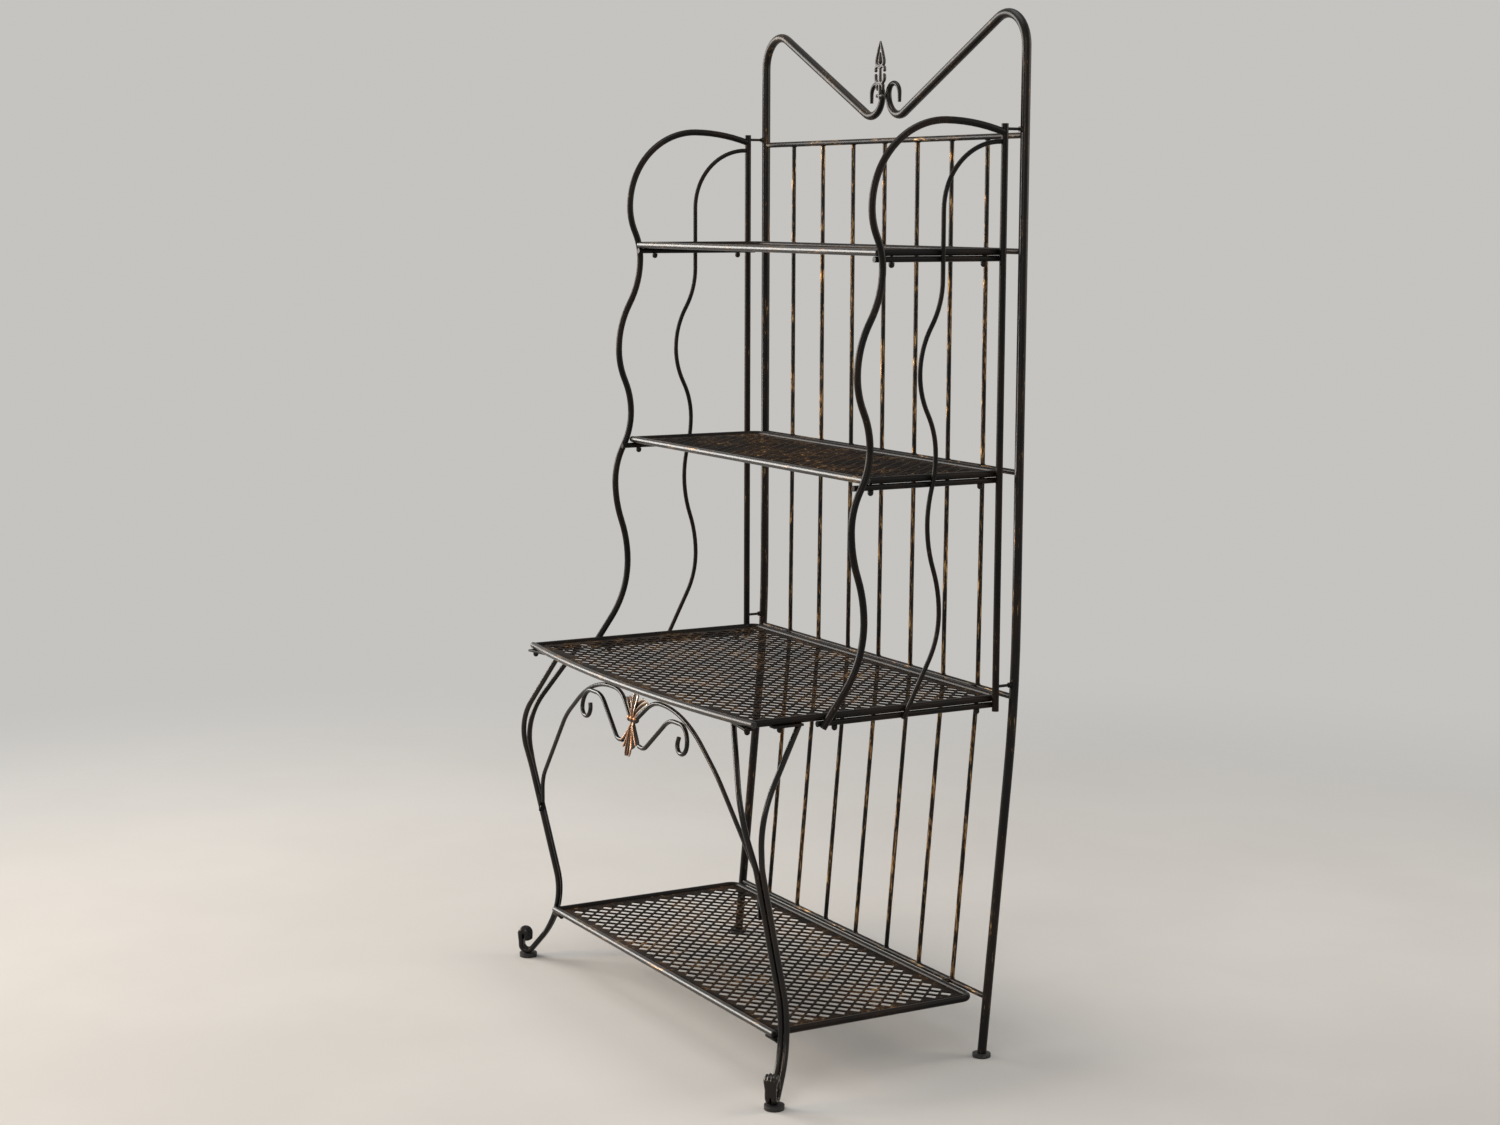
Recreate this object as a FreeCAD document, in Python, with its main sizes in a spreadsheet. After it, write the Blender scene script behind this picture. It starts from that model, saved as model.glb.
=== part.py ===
import FreeCAD
import Part
import math
import os

from FreeCAD import Vector

# Bakers rack: welded back panel with crest, two wavy side panels, four mesh shelves,
# two pairs of bowed front legs and a scrolled apron.
# Frame: X across the front, Y towards the back, Z up, origin on the floor under the middle.

doc = FreeCAD.newDocument("bakers_rack")
sheet = doc.addObject("Spreadsheet::Sheet", "Sizes")

# Driving sizes in millimetres, angles in degrees
SIZES = (
    ("side_half", 437, "upright axis from the middle plane"),
    ("upright_diameter", 16, "upright and crest tube"),
    ("upright_wall", 1.5, "wall of the upright tube"),
    ("lean_run", 58, "forward lean of the lower back panel at the floor"),
    ("lean_bend_radius", 3000, "gentle bend of the uprights at the work surface"),
    ("peak_corner_height", 1828, "corner point of the crest peak"),
    ("peak_bend_radius", 57, "bend of the crest peak"),
    ("dip_corner_height", 1610, "corner point of the crest dip"),
    ("dip_bend_radius", 37, "bend of the crest dip"),
    ("hook_half", 10.2, "inner hook run from the middle plane"),
    ("hook_bend_radius", 18.5, "bend over the crest hook"),
    ("hook_top_height", 1690, "axis of the hook at its top"),
    ("hook_end_height", 1656, "free end of the hook"),
    ("crest_rail_height", 1588, "axis of the highest back rail"),
    ("top_height", 1395, "axis of the top shelf frame"),
    ("middle_height", 1021, "axis of the middle shelf frame"),
    ("work_height", 633, "axis of the work surface frame"),
    ("base_height", 105, "axis of the bottom shelf frame"),
    ("rail_diameter", 10, "back rails"),
    ("spindle_diameter", 8, "back spindles"),
    ("weld_gap", 0.3, "space left at a welded or seated joint"),
    ("hole_play", 0.6, "hole over bolt diameter"),
    ("rear_foot_diameter", 32, "rear floor disc"),
    ("rear_foot_thickness", 6, "rear floor disc"),
    ("rear_foot_stem", 22, "plug inside the upright"),
    ("waste_edge", 36, "block that squares off a bar end"),
    ("post_setback", 41, "side post in front of the upright axis"),
    ("post_diameter", 12, "side post"),
    ("post_top", 1607, "upper end of the side post"),
    ("post_bottom", 612, "lower end of the side post"),
    ("side_tube_diameter", 12, "wavy front tube"),
    ("side_tube_wall", 1.2, "wall of the wavy front tube"),
    ("inner_rod_diameter", 8, "wavy inner rod"),
    ("bar_diameter", 10, "shelf bearer bars of the side panels"),
    ("bar_overrun", 9, "bearer past the post and the front tube"),
    ("front_join_height", 1592, "front tube at the post"),
    ("front_crown_radius", 142.5, "front tube over its crown"),
    ("front_depth_a", 300, "front tube, first bow forward"),
    ("front_level_a", 1468, "front tube, first bow forward"),
    ("front_depth_b", 278.5, "front tube, first bow back"),
    ("front_level_b", 1370, "front tube, first bow back"),
    ("front_depth_c", 325, "front tube, second bow forward"),
    ("front_level_c", 1195, "front tube, second bow forward"),
    ("front_depth_d", 299.5, "front tube, second bow back"),
    ("front_level_d", 1075, "front tube, second bow back"),
    ("front_depth_e", 334, "front tube, third bow forward"),
    ("front_level_e", 940, "front tube, third bow forward"),
    ("front_depth_f", 308, "front tube, third bow back"),
    ("front_level_f", 785, "front tube, third bow back"),
    ("front_tail_radius", 190, "front tube, sweep to its lower end"),
    ("front_tail_angle", 36, "front tube, slope of its lower end"),
    ("inner_join_height", 1577, "inner rod at the post"),
    ("inner_crown_radius", 112, "inner rod over its crown"),
    ("inner_straight_end", 1350, "inner rod, end of the straight run"),
    ("inner_depth_b", 202, "inner rod, bow forward"),
    ("inner_level_b", 1195, "inner rod, bow forward"),
    ("inner_depth_c", 169, "inner rod, bow back"),
    ("inner_level_c", 1060, "inner rod, bow back"),
    ("inner_depth_d", 184, "inner rod, second bow forward"),
    ("inner_level_d", 943, "inner rod, second bow forward"),
    ("inner_depth_e", 158.5, "inner rod, second bow back"),
    ("inner_level_e", 790, "inner rod, second bow back"),
    ("inner_tail_radius", 170, "inner rod, sweep to its lower end"),
    ("inner_tail_angle", 27.5, "inner rod, slope of its lower end"),
    ("side_end_height", 616, "lower ends of the wavy tubes"),
    ("shelf_half", 424, "shelf side frame axis from the middle plane"),
    ("shelf_tube_diameter", 12, "shelf frames"),
    ("shelf_tube_wall", 1.2, "wall of the shelf frames"),
    ("rim_bend_radius", 20, "rear corners of the shelf frames"),
    ("shelf_back_space", 13, "clear space between shelf frame and back rail"),
    ("top_front", 283, "top shelf front tube from the upright axis"),
    ("middle_front", 300, "middle shelf front tube from the upright axis"),
    ("work_front", 515, "ends of the work surface front tube from the upright axis"),
    ("work_bow", 31, "forward bow of the work surface front tube"),
    ("base_front", 473, "bottom shelf front tube from the upright axis"),
    ("mesh_thickness", 2, "expanded mesh sheet"),
    ("mesh_pitch", 31, "mesh diamond, corner to corner"),
    ("mesh_strand", 4.5, "mesh strand width"),
    ("mesh_border", 10, "plain edge of the mesh sheet"),
    ("leg_rod_diameter", 10, "front leg rods"),
    ("leg_corner_half", 424, "leg corner point from the middle plane"),
    ("leg_corner_depth", 504, "leg corner point from the upright axis"),
    ("leg_top_inset", 57, "rod tops inside the corner, along the diagonal"),
    ("leg_top_spread", 56, "rod tops to each side of the diagonal"),
    ("leg_bow_out", 37, "corner point of the bow, along the diagonal"),
    ("leg_bow_level", 485, "corner point of the bow"),
    ("leg_bow_spread", 17, "rods to each side of the diagonal at the bow"),
    ("leg_bow_radius", 140, "bend of the bow"),
    ("leg_meet_out", 21, "where the rods meet, along the diagonal"),
    ("leg_meet_level", 395, "where the rods meet"),
    ("leg_meet_radius", 150, "bend where the rods meet"),
    ("leg_ankle_out", -33, "corner point of the ankle, along the diagonal"),
    ("leg_ankle_level", 102, "corner point of the ankle"),
    ("leg_ankle_radius", 170, "bend of the ankle"),
    ("leg_toe_out", 58, "outer side of the foot scroll, along the diagonal"),
    ("leg_toe_drop", -8, "corner point under the foot scroll"),
    ("leg_toe_radius", 11.8, "bend under the foot scroll"),
    ("leg_curl_top", 52.5, "axis at the top of the foot scroll"),
    ("leg_curl_radius", 6.5, "bend over the foot scroll"),
    ("leg_curl_end", 40, "free end of the foot scroll"),
    ("leg_swing_level", 480, "level under which the legs swing sideways"),
    ("leg_swing_slope", 0.125, "sideways swing per length of leg"),
    ("leg_foot_swing", 42, "sideways swing at the foot"),
    ("pad_shift", 3, "floor pad beside the middle of the foot scroll"),
    ("tab_thickness", 4, "leg tabs"),
    ("tab_width", 18, "leg tabs"),
    ("side_tab_length", 56, "tabs on top of the side rods"),
    ("side_tab_bolt", 36, "bolt from the rod axis on a side rod's tab"),
    ("front_tab_length", 89, "tabs on top of the front rods"),
    ("front_tab_bolt", 70, "bolt from the rod axis on a front rod's tab"),
    ("front_foot_diameter", 34, "front floor pad"),
    ("stud_diameter", 5, "studs and screws"),
    ("nut_diameter", 10, "cap nuts"),
    ("nut_height", 4, "cap nuts under the dome"),
    ("stud_tube_offset", 26, "bearer stud behind the front tube"),
    ("stud_post_offset", 30, "bearer stud in front of the post"),
    ("standoff_drop", 9, "upper stand-off bolt under the post top"),
    ("standoff_low", 655, "lower stand-off bolt"),
    ("standoff_nut", 9, "stand-off nut diameter"),
    ("sleeve_diameter", 9, "sleeves between shelf and back rail"),
    ("sleeve_half", 325, "sleeves from the middle plane"),
    ("apron_setback", 508, "arch plane from the upright axis"),
    ("apron_lean", 0.12, "forward lean of scrolls and ornament per length"),
    ("apron_rod_diameter", 8, "apron rods"),
    ("arch_rise_half", 62, "arch, corner point by the ornament"),
    ("arch_rise_level", 607, "arch, corner point by the ornament"),
    ("arch_rise_radius", 80, "arch, bend by the ornament"),
    ("arch_shoulder_half", 178, "arch, corner point of the shoulder"),
    ("arch_shoulder_level", 609, "arch, corner point of the shoulder"),
    ("arch_shoulder_radius", 240, "arch, bend of the shoulder"),
    ("arch_flank_half", 298, "arch, corner point of the flank"),
    ("arch_flank_level", 520, "arch, corner point of the flank"),
    ("arch_flank_radius", 220, "arch, bend of the flank"),
    ("arch_knee_level", 372, "arch, corner point above its end"),
    ("arch_knee_radius", 60, "arch, bend above its end"),
    ("arch_end_level", 324, "arch, lower end at the lug"),
    ("lug_thickness", 3, "lugs on the legs"),
    ("lug_height", 34, "lugs on the legs"),
    ("lug_width", 11, "lugs on the legs"),
    ("lug_level", 322, "middle of the lugs"),
    ("lug_bolt_drop", 9, "lug bolt under the middle of the lug"),
    ("scroll_start_level", 523, "apron scroll at the ornament"),
    ("scroll_dip_half", 52, "apron scroll, lowest corner point"),
    ("scroll_dip_level", 521, "apron scroll, lowest corner point"),
    ("scroll_dip_radius", 26, "apron scroll, lowest bend"),
    ("scroll_rise_half", 133, "apron scroll, upper corner point"),
    ("scroll_crown_level", 588, "apron scroll, axis at its crown"),
    ("scroll_rise_radius", 55, "apron scroll, upper bend"),
    ("scroll_far_half", 206, "apron scroll, outermost axis"),
    ("scroll_far_radius", 32, "apron scroll, upper outer bend"),
    ("scroll_low_radius", 17, "apron scroll, lower outer bend"),
    ("scroll_low_level", 539, "apron scroll, lowest axis of the curl"),
    ("scroll_near_half", 166, "apron scroll, corner point of the curl"),
    ("scroll_near_radius", 15, "apron scroll, last bend"),
    ("scroll_end_half", 175, "apron scroll, free end"),
    ("scroll_end_level", 565, "apron scroll, free end"),
    ("ornament_top", 612, "tip of the leaf ornament"),
    ("ornament_waist", 566, "waist of the leaf ornament"),
    ("ornament_bottom", 493, "lower tip of the leaf ornament"),
    ("ornament_top_half", 26, "half width of the upper leaves"),
    ("ornament_low_half", 32, "half width of the lower leaves"),
    ("ornament_waist_radius", 9, "waist of the leaf ornament"),
    ("ornament_bead_half", 10, "side beads of the ornament from the middle plane"),
    ("ornament_bead_radius", 6.5, "side beads of the ornament"),
    ("leaf_thickness", 9, "leaf blades"),
    ("leaf_half", 6, "half width of a leaf blade"),
    ("finial_bottom", 1660, "lower end of the finial"),
    ("finial_top", 1767, "tip of the finial"),
    ("finial_depth", 7, "thickness of the finial"),
    ("finial_stem_half", 3.5, "half width of the finial stem"),
    ("finial_head_half", 15, "half width of the spear head"),
    ("finial_barb_half", 16.5, "half width over the barbs"),
    ("finial_collar_half", 12.5, "half width of the collar"),
    ("finial_collar_height", 9, "collar across the crest tubes"),
)

for row, (name, value, note) in enumerate(SIZES, start=1):
    sheet.set("A%d" % row, name)
    sheet.set("B%d" % row, str(value))
    sheet.set("C%d" % row, note)
    sheet.setAlias("B%d" % row, name)
doc.recompute()


class Sizes:
    """Sheet values by name."""

    def __getattr__(self, name):
        return float(sheet.get(name))


S = Sizes()

# Counts and shares
SPINDLE_SPACES = 8
UPRIGHT_RUNS = 3
LEAF_BELLY_SHARE = 0.55
UPPER_SIDE_SHARE = 0.8
LOWER_SIDE_SHARE = 0.66
UPPER_SPREAD_SHARES = (-1, 0, 1)
LOWER_SPREAD_SHARES = (-1, -0.5, 0, 0.5, 1)
HALF = 0.5
QUARTER_TURN = 90
SIDES = (("left", -1), ("right", 1))
SHELVES = ("top", "middle", "work", "base")
BEARER_SHELVES = ("top", "middle", "work")

parts = []


def keep(obj, label):
    """Take a document object as a finished sub-part under its own label."""
    obj.Label = label
    parts.append(obj)
    return obj


def straight(start, end):
    """Straight run between two points, none where a bend runs into the next one."""
    if start.isEqual(end, S.weld_gap * HALF):
        return []
    return [Part.LineSegment(start, end).toShape()]


def bent_edges(points, radii):
    """Straight runs through the points with a tangent bend of the given radius at each inner point."""
    edges = []
    start = points[0]
    for before, corner, after, radius in zip(points, points[1:], points[2:], radii):
        back = (before - corner).normalize()
        ahead = (after - corner).normalize()
        half_angle = back.getAngle(ahead) * HALF
        reach = radius / math.tan(half_angle)
        middle = (back + ahead).normalize()
        centre = corner + middle * (radius / math.sin(half_angle))
        first = corner + back * reach
        last = corner + ahead * reach
        edges += straight(start, first)
        edges.append(Part.Arc(first, centre - middle * radius, last).toShape())
        start = last
    return edges + straight(start, points[-1])


def wave_edges(points):
    """Two equal tangent arcs between each pair of turning points, upright at every turning point."""
    edges = []
    for start, end in zip(points, points[1:]):
        middle = (start + end) * HALF
        for tip, other in ((start, middle), (middle, end)):
            base = tip if tip is start else other
            far = other if tip is start else tip
            run = far.y - base.y
            rise = far.z - base.z
            radius = (run * run + rise * rise) / (abs(run) + abs(run))
            angle = math.asin(abs(rise) / radius) * HALF
            bulge = Vector(base.x,
                           base.y + math.copysign(radius * (1 - math.cos(angle)), run),
                           base.z + math.copysign(radius * math.sin(angle), rise))
            edges.append(Part.Arc(tip, bulge, other).toShape())
    return edges


def quarter_edge(start, end, centre, radius):
    """Arc of the given radius between two points around a centre."""
    middle = ((start + end) * HALF - centre).normalize() * radius + centre
    return Part.Arc(start, middle, end).toShape()


def tail_edges(start, radius, angle, end_height):
    """Sweep forward and down from an upright start, then a straight run to the end height."""
    turn = math.radians(angle)

    def on_sweep(share):
        bend = turn * share
        return start + Vector(0, -radius * (1 - math.cos(bend)), -radius * math.sin(bend))

    leave = on_sweep(1)
    drop = leave.z - end_height
    end = leave + Vector(0, -drop * math.tan(turn), -drop)
    return [Part.Arc(start, on_sweep(HALF), leave).toShape(), Part.LineSegment(leave, end).toShape()]


def sweep(name, edges, diameter):
    """Round bar along the edges; diameter is an expression in sheet names."""
    path = doc.addObject("Part::Feature", name + "_path")
    path.Shape = Part.Wire(edges)
    first = path.Shape.Edges[0]
    begin = path.Shape.OrderedVertexes[0].Point
    tangent = first.tangentAt(first.getParameterByLength(0))
    ring = doc.addObject("Part::Circle", name + "_ring")
    ring.setExpression("Radius", "(%s) / 2" % diameter)
    ring.Placement = FreeCAD.Placement(begin, FreeCAD.Rotation(Vector(0, 0, 1), tangent))
    bar = doc.addObject("Part::Sweep", name)
    bar.Sections = [ring]
    bar.Spine = (path, ["Edge%d" % (i + 1) for i in range(len(path.Shape.Edges))])
    bar.Solid = True
    bar.Frenet = False
    return bar


def cut(name, base, tool):
    """Base less tool as a document object."""
    result = doc.addObject("Part::Cut", name)
    result.Base = base
    result.Tool = tool
    return result


def hollow(name, edges, diameter, wall):
    """Round tube along the edges; both sizes are sheet names."""
    outer = sweep(name + "_outer", edges, "Sizes." + diameter)
    inner = sweep(name + "_bore", edges, "Sizes.%s - 2 * Sizes.%s" % (diameter, wall))
    return cut(name + "_tube", outer, inner)


def rod(name, start, end, diameter):
    """Straight round bar between two points; diameter is an expression in sheet names."""
    bar = doc.addObject("Part::Cylinder", name)
    bar.setExpression("Radius", "(%s) / 2" % diameter)
    bar.Height = (end - start).Length
    bar.Placement = FreeCAD.Placement(start, FreeCAD.Rotation(Vector(0, 0, 1), end - start))
    return bar


def group(name, objects):
    """Several solids side by side as one document object."""
    bundle = doc.addObject("Part::Compound", name)
    bundle.Links = objects
    return bundle


def drill(name, base, holes):
    """Base with round holes; each hole is (start, end)."""
    tools = []
    for index, (start, end) in enumerate(holes):
        tools.append(rod("%s_hole_%d" % (name, index), start, end,
                         "Sizes.stud_diameter + Sizes.hole_play"))
    return cut(name + "_drilled", base, group(name + "_holes", tools))


def crossing(wire, level):
    """Point where a path crosses a level."""
    reach = wire.BoundBox.DiagonalLength
    plane = Part.makePlane(2 * reach, 2 * reach, wire.BoundBox.Center - Vector(reach, reach, 0))
    plane.translate(Vector(0, 0, level - wire.BoundBox.Center.z))
    return min((hit.Point for hit in wire.section(plane).Vertexes), key=lambda point: point.y)


def trim(name, base, axis, bottom):
    """Base with a waste block taken off around an upright axis, from a bottom level upwards."""
    waste = doc.addObject("Part::Box", name + "_waste")
    for edge in ("Length", "Width", "Height"):
        waste.setExpression(edge, "Sizes.waste_edge")
    side = S.waste_edge * HALF
    waste.Placement.Base = Vector(axis.x - side, axis.y - side, bottom)
    return cut(name + "_trimmed", base, waste)


# Derived positions
upright_radius = S.upright_diameter * HALF
rail_radius = S.rail_diameter * HALF
post_radius = S.post_diameter * HALF
bar_radius = S.bar_diameter * HALF
shelf_radius = S.shelf_tube_diameter * HALF
leg_radius = S.leg_rod_diameter * HALF
lean_slope = S.lean_run / S.work_height
lean_angle = math.atan(lean_slope)
bend_sag = S.lean_bend_radius * (1 / math.cos(lean_angle * HALF) - 1)


def back_y(height):
    """Back panel plane: upright above the work surface, leaning forward below it."""
    if height > S.work_height:
        return 0
    if height == S.work_height:
        return -bend_sag
    return -(S.work_height - height) * lean_slope


# Back frame: each side is one tube from the floor, over the peak, down to the crest and round its hook
foot_line = S.rear_foot_thickness + S.weld_gap
standoff_levels = (S.post_top - S.standoff_drop, S.standoff_low)
for side, sign in SIDES:
    outer_x = sign * S.side_half
    inner_x = sign * S.hook_half
    turn_x = sign * (S.hook_half + S.hook_bend_radius + S.hook_bend_radius)
    under = -S.rear_foot_stem
    route = [
        Vector(outer_x, back_y(under), under),
        Vector(outer_x, 0, S.work_height),
        Vector(outer_x, 0, S.peak_corner_height),
        Vector(inner_x, 0, S.dip_corner_height),
        Vector(inner_x, 0, S.hook_top_height),
        Vector(turn_x, 0, S.hook_top_height),
        Vector(turn_x, 0, S.hook_end_height),
    ]
    bends = [S.lean_bend_radius, S.peak_bend_radius, S.dip_bend_radius,
             S.hook_bend_radius, S.hook_bend_radius]
    edges = bent_edges(route, bends)
    upright_wire = Part.Wire(edges[:UPRIGHT_RUNS])
    tube = hollow("back_frame_" + side, edges, "upright_diameter", "upright_wall")
    trimmed = trim("back_frame_" + side, tube, Vector(outer_x, back_y(0), 0), foot_line - S.waste_edge)
    holes = []
    for level in standoff_levels:
        axis_y = crossing(upright_wire, level).y
        holes.append((Vector(outer_x, axis_y - S.upright_diameter, level), Vector(outer_x, axis_y, level)))
    keep(drill("back_frame_" + side, trimmed, holes), "back_frame_" + side)

    # Rear foot: floor disc with a leaning plug inside the tube
    disc = doc.addObject("Part::Cylinder", "rear_disc_" + side)
    disc.setExpression("Radius", "Sizes.rear_foot_diameter / 2")
    disc.setExpression("Height", "Sizes.rear_foot_thickness")
    disc.Placement.Base = Vector(outer_x, back_y(0), 0)
    plug = doc.addObject("Part::Cylinder", "rear_plug_" + side)
    plug.setExpression("Radius", "Sizes.upright_diameter / 2 - Sizes.upright_wall - 2 * Sizes.weld_gap")
    plug.setExpression("Height", "Sizes.rear_foot_stem")
    axis = Vector(0, lean_slope, 1)
    plug.Placement = FreeCAD.Placement(Vector(outer_x, back_y(S.rear_foot_thickness * HALF),
                                              S.rear_foot_thickness * HALF),
                                       FreeCAD.Rotation(Vector(0, 0, 1), axis))
    foot = doc.addObject("Part::Fuse", "rear_foot_body_" + side)
    foot.Base = disc
    foot.Tool = plug
    keep(foot, "rear_foot_" + side)

# Back rails between the uprights
rail_levels = (("crest", S.crest_rail_height), ("top", S.top_height), ("middle", S.middle_height),
               ("work", S.work_height), ("base", S.base_height))
rail_end = S.side_half - upright_radius - S.weld_gap
for name, level in rail_levels:
    y = back_y(level)
    keep(rod("back_rail_bar_" + name, Vector(-rail_end, y, level), Vector(rail_end, y, level),
             "Sizes.rail_diameter"), "back_rail_" + name)

# Spindles, one set in each bay between two rails
bays = ("crest_bay", "upper_bay", "middle_bay", "lower_bay")
for bay, (upper, lower) in zip(bays, zip(rail_levels, rail_levels[1:])):
    high = Vector(0, back_y(upper[1]), upper[1])
    low = Vector(0, back_y(lower[1]), lower[1])
    clear = (high - low).normalize() * (rail_radius + S.weld_gap)
    bars = []
    for index in range(1, SPINDLE_SPACES):
        across = Vector(S.side_half * (2 * index / SPINDLE_SPACES - 1), 0, 0)
        bars.append(rod("spindle_%s_%d" % (bay, index), low + clear + across, high - clear + across,
                        "Sizes.spindle_diameter"))
    keep(group("spindle_set_" + bay, bars), "spindles_" + bay)

# Side panels: post, wavy front tube, wavy inner rod and shelf bearers
bar_x = S.side_half - S.side_tube_diameter * HALF - bar_radius - S.weld_gap
inner_x = bar_x + bar_radius + S.inner_rod_diameter * HALF + S.weld_gap
join_y = -(S.post_setback + post_radius + S.weld_gap)
bearer_drop = shelf_radius + bar_radius + S.weld_gap
levels = {"top": S.top_height, "middle": S.middle_height, "work": S.work_height, "base": S.base_height}
fronts = {"top": S.top_front, "middle": S.middle_front, "work": S.work_front, "base": S.base_front}


def front_points(x):
    """Turning points of the wavy front tube."""
    pairs = ((S.front_depth_a, S.front_level_a), (S.front_depth_b, S.front_level_b),
             (S.front_depth_c, S.front_level_c), (S.front_depth_d, S.front_level_d),
             (S.front_depth_e, S.front_level_e), (S.front_depth_f, S.front_level_f))
    return [Vector(x, -depth, level) for depth, level in pairs]


def inner_points(x):
    """Turning points of the wavy inner rod."""
    pairs = ((S.inner_crown_radius - join_y, S.inner_straight_end), (S.inner_depth_b, S.inner_level_b),
             (S.inner_depth_c, S.inner_level_c), (S.inner_depth_d, S.inner_level_d),
             (S.inner_depth_e, S.inner_level_e))
    return [Vector(x, -depth, level) for depth, level in pairs]


def front_route(x):
    """Edges of the wavy front tube from the post to its lower end."""
    turns = front_points(x)
    radius = S.front_crown_radius
    crown = turns[0] + Vector(0, radius, radius)
    join = Vector(x, -S.post_setback, S.front_join_height)
    run = join.y - crown.y
    fall = crown.z - join.z
    flat_radius = (run * run + fall * fall) / (fall + fall)
    flat_centre = crown - Vector(0, 0, flat_radius)
    edges = [quarter_edge(join, crown, flat_centre, flat_radius),
             quarter_edge(crown, turns[0], turns[0] + Vector(0, radius, 0), radius)]
    return edges + wave_edges(turns) + tail_edges(turns[-1], S.front_tail_radius, S.front_tail_angle,
                                                  S.side_end_height)


def inner_route(x):
    """Edges of the wavy inner rod from the post to its lower end."""
    turns = inner_points(x)
    radius = S.inner_crown_radius
    join = Vector(x, join_y, S.inner_join_height)
    centre = join - Vector(0, 0, radius)
    shoulder = centre - Vector(0, radius, 0)
    edges = [quarter_edge(join, shoulder, centre, radius), Part.LineSegment(shoulder, turns[0]).toShape()]
    return edges + wave_edges(turns) + tail_edges(turns[-1], S.inner_tail_radius, S.inner_tail_angle,
                                                  S.side_end_height)


front_wire = Part.Wire(front_route(0))
bearer_depths = {shelf: -crossing(front_wire, levels[shelf] - bearer_drop).y for shelf in BEARER_SHELVES}


def bearer_studs(shelf, sign):
    """Stud positions of one bearer: behind the front tube and in front of the post."""
    x = sign * S.shelf_half
    top = levels[shelf]
    low = top - bearer_drop - bar_radius - S.weld_gap - S.nut_height
    places = (-(bearer_depths[shelf] - S.stud_tube_offset), -(S.post_setback + S.stud_post_offset))
    return [(Vector(x, y, low), Vector(x, y, top)) for y in places]


stud_places = []
for side, sign in SIDES:
    x = sign * S.side_half
    post = rod("side_post_bar_" + side, Vector(x, -S.post_setback, S.post_bottom),
               Vector(x, -S.post_setback, S.post_top), "Sizes.post_diameter")
    holes = [(Vector(x, -S.post_setback, level), Vector(x, -S.post_setback + S.post_diameter, level))
             for level in standoff_levels]
    keep(drill("side_post_" + side, post, holes), "side_post_" + side)
    tube = hollow("side_front_" + side, front_route(x), "side_tube_diameter", "side_tube_wall")
    seat = rod("side_front_%s_seat" % side, Vector(x, -S.post_setback, S.front_join_height - S.post_setback),
               Vector(x, -S.post_setback, S.post_top + S.post_setback),
               "Sizes.post_diameter + 2 * Sizes.weld_gap")
    keep(cut("side_front_%s_coped" % side, tube, seat), "side_front_tube_" + side)
    keep(sweep("side_inner_" + side, inner_route(sign * inner_x), "Sizes.inner_rod_diameter"),
         "side_inner_rod_" + side)
    for shelf in BEARER_SHELVES:
        level = levels[shelf] - bearer_drop
        name = "bearer_%s_%s" % (shelf, side)
        bar = rod(name + "_bar", Vector(sign * bar_x, -bearer_depths[shelf] - S.bar_overrun, level),
                  Vector(sign * bar_x, -S.post_setback + S.bar_overrun, level), "Sizes.bar_diameter")
        studs = bearer_studs(shelf, sign)
        stud_places += studs
        keep(drill(name, bar, studs), name)

# Top tabs and shelf tabs of the legs, in plan on the corner diagonal
tab_top = S.work_height - shelf_radius - S.weld_gap
rod_top = tab_top - S.tab_thickness - S.weld_gap
diagonal = math.sqrt(HALF)


def leg_point(sign, out, swing, level):
    """Point by the leg corner: out along the diagonal, swing across it."""
    return Vector(sign * (S.leg_corner_half + (out + swing) * diagonal),
                  -S.leg_corner_depth + (swing - out) * diagonal, level)


def swing_at(level):
    """Sideways swing of the leg under its bow."""
    return (S.leg_swing_level - level) * S.leg_swing_slope


def leg_route(sign, hand):
    """Points of one leg rod; hand is -1 for the front rod and 1 for the side rod."""
    pair = hand * (leg_radius + S.weld_gap * HALF)
    foot = S.leg_foot_swing + pair
    return [
        leg_point(sign, -S.leg_top_inset, hand * S.leg_top_spread, rod_top),
        leg_point(sign, S.leg_bow_out, hand * S.leg_bow_spread, S.leg_bow_level),
        leg_point(sign, S.leg_meet_out, swing_at(S.leg_meet_level) + pair, S.leg_meet_level),
        leg_point(sign, S.leg_ankle_out, swing_at(S.leg_ankle_level) + pair, S.leg_ankle_level),
        leg_point(sign, S.leg_toe_out, foot, S.leg_toe_drop),
        leg_point(sign, S.leg_toe_out, foot, S.leg_curl_top),
        leg_point(sign, S.leg_toe_out - 2 * S.leg_curl_radius, foot, S.leg_curl_top),
        leg_point(sign, S.leg_toe_out - 2 * S.leg_curl_radius, foot, S.leg_curl_end),
    ]


LEG_BENDS = [S.leg_bow_radius, S.leg_meet_radius, S.leg_ankle_radius, S.leg_toe_radius,
             S.leg_curl_radius, S.leg_curl_radius]
HANDS = (("front", -1), ("side", 1))
bow_radius = (S.shelf_half * S.shelf_half + S.work_bow * S.work_bow) / (S.work_bow + S.work_bow)
bow_centre = bow_radius - S.work_front - S.work_bow


def front_edge(shelf, x, inset=0):
    """Front tube axis of a shelf at a distance from the middle plane, or a line set in behind it."""
    if shelf == "work":
        return bow_centre - math.sqrt((bow_radius - inset) ** 2 - x * x)
    return -fronts[shelf] + inset


def lug_place(wire):
    """Inner face of an apron lug beside the front rod of a leg, and the depth of the rod there."""
    ends = [crossing(wire, S.lug_level + share * S.lug_height) for share in (-HALF, HALF)]
    face = min(abs(end.x) for end in ends) - leg_radius - S.weld_gap - S.lug_thickness
    return face, crossing(wire, S.lug_level).y


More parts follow.
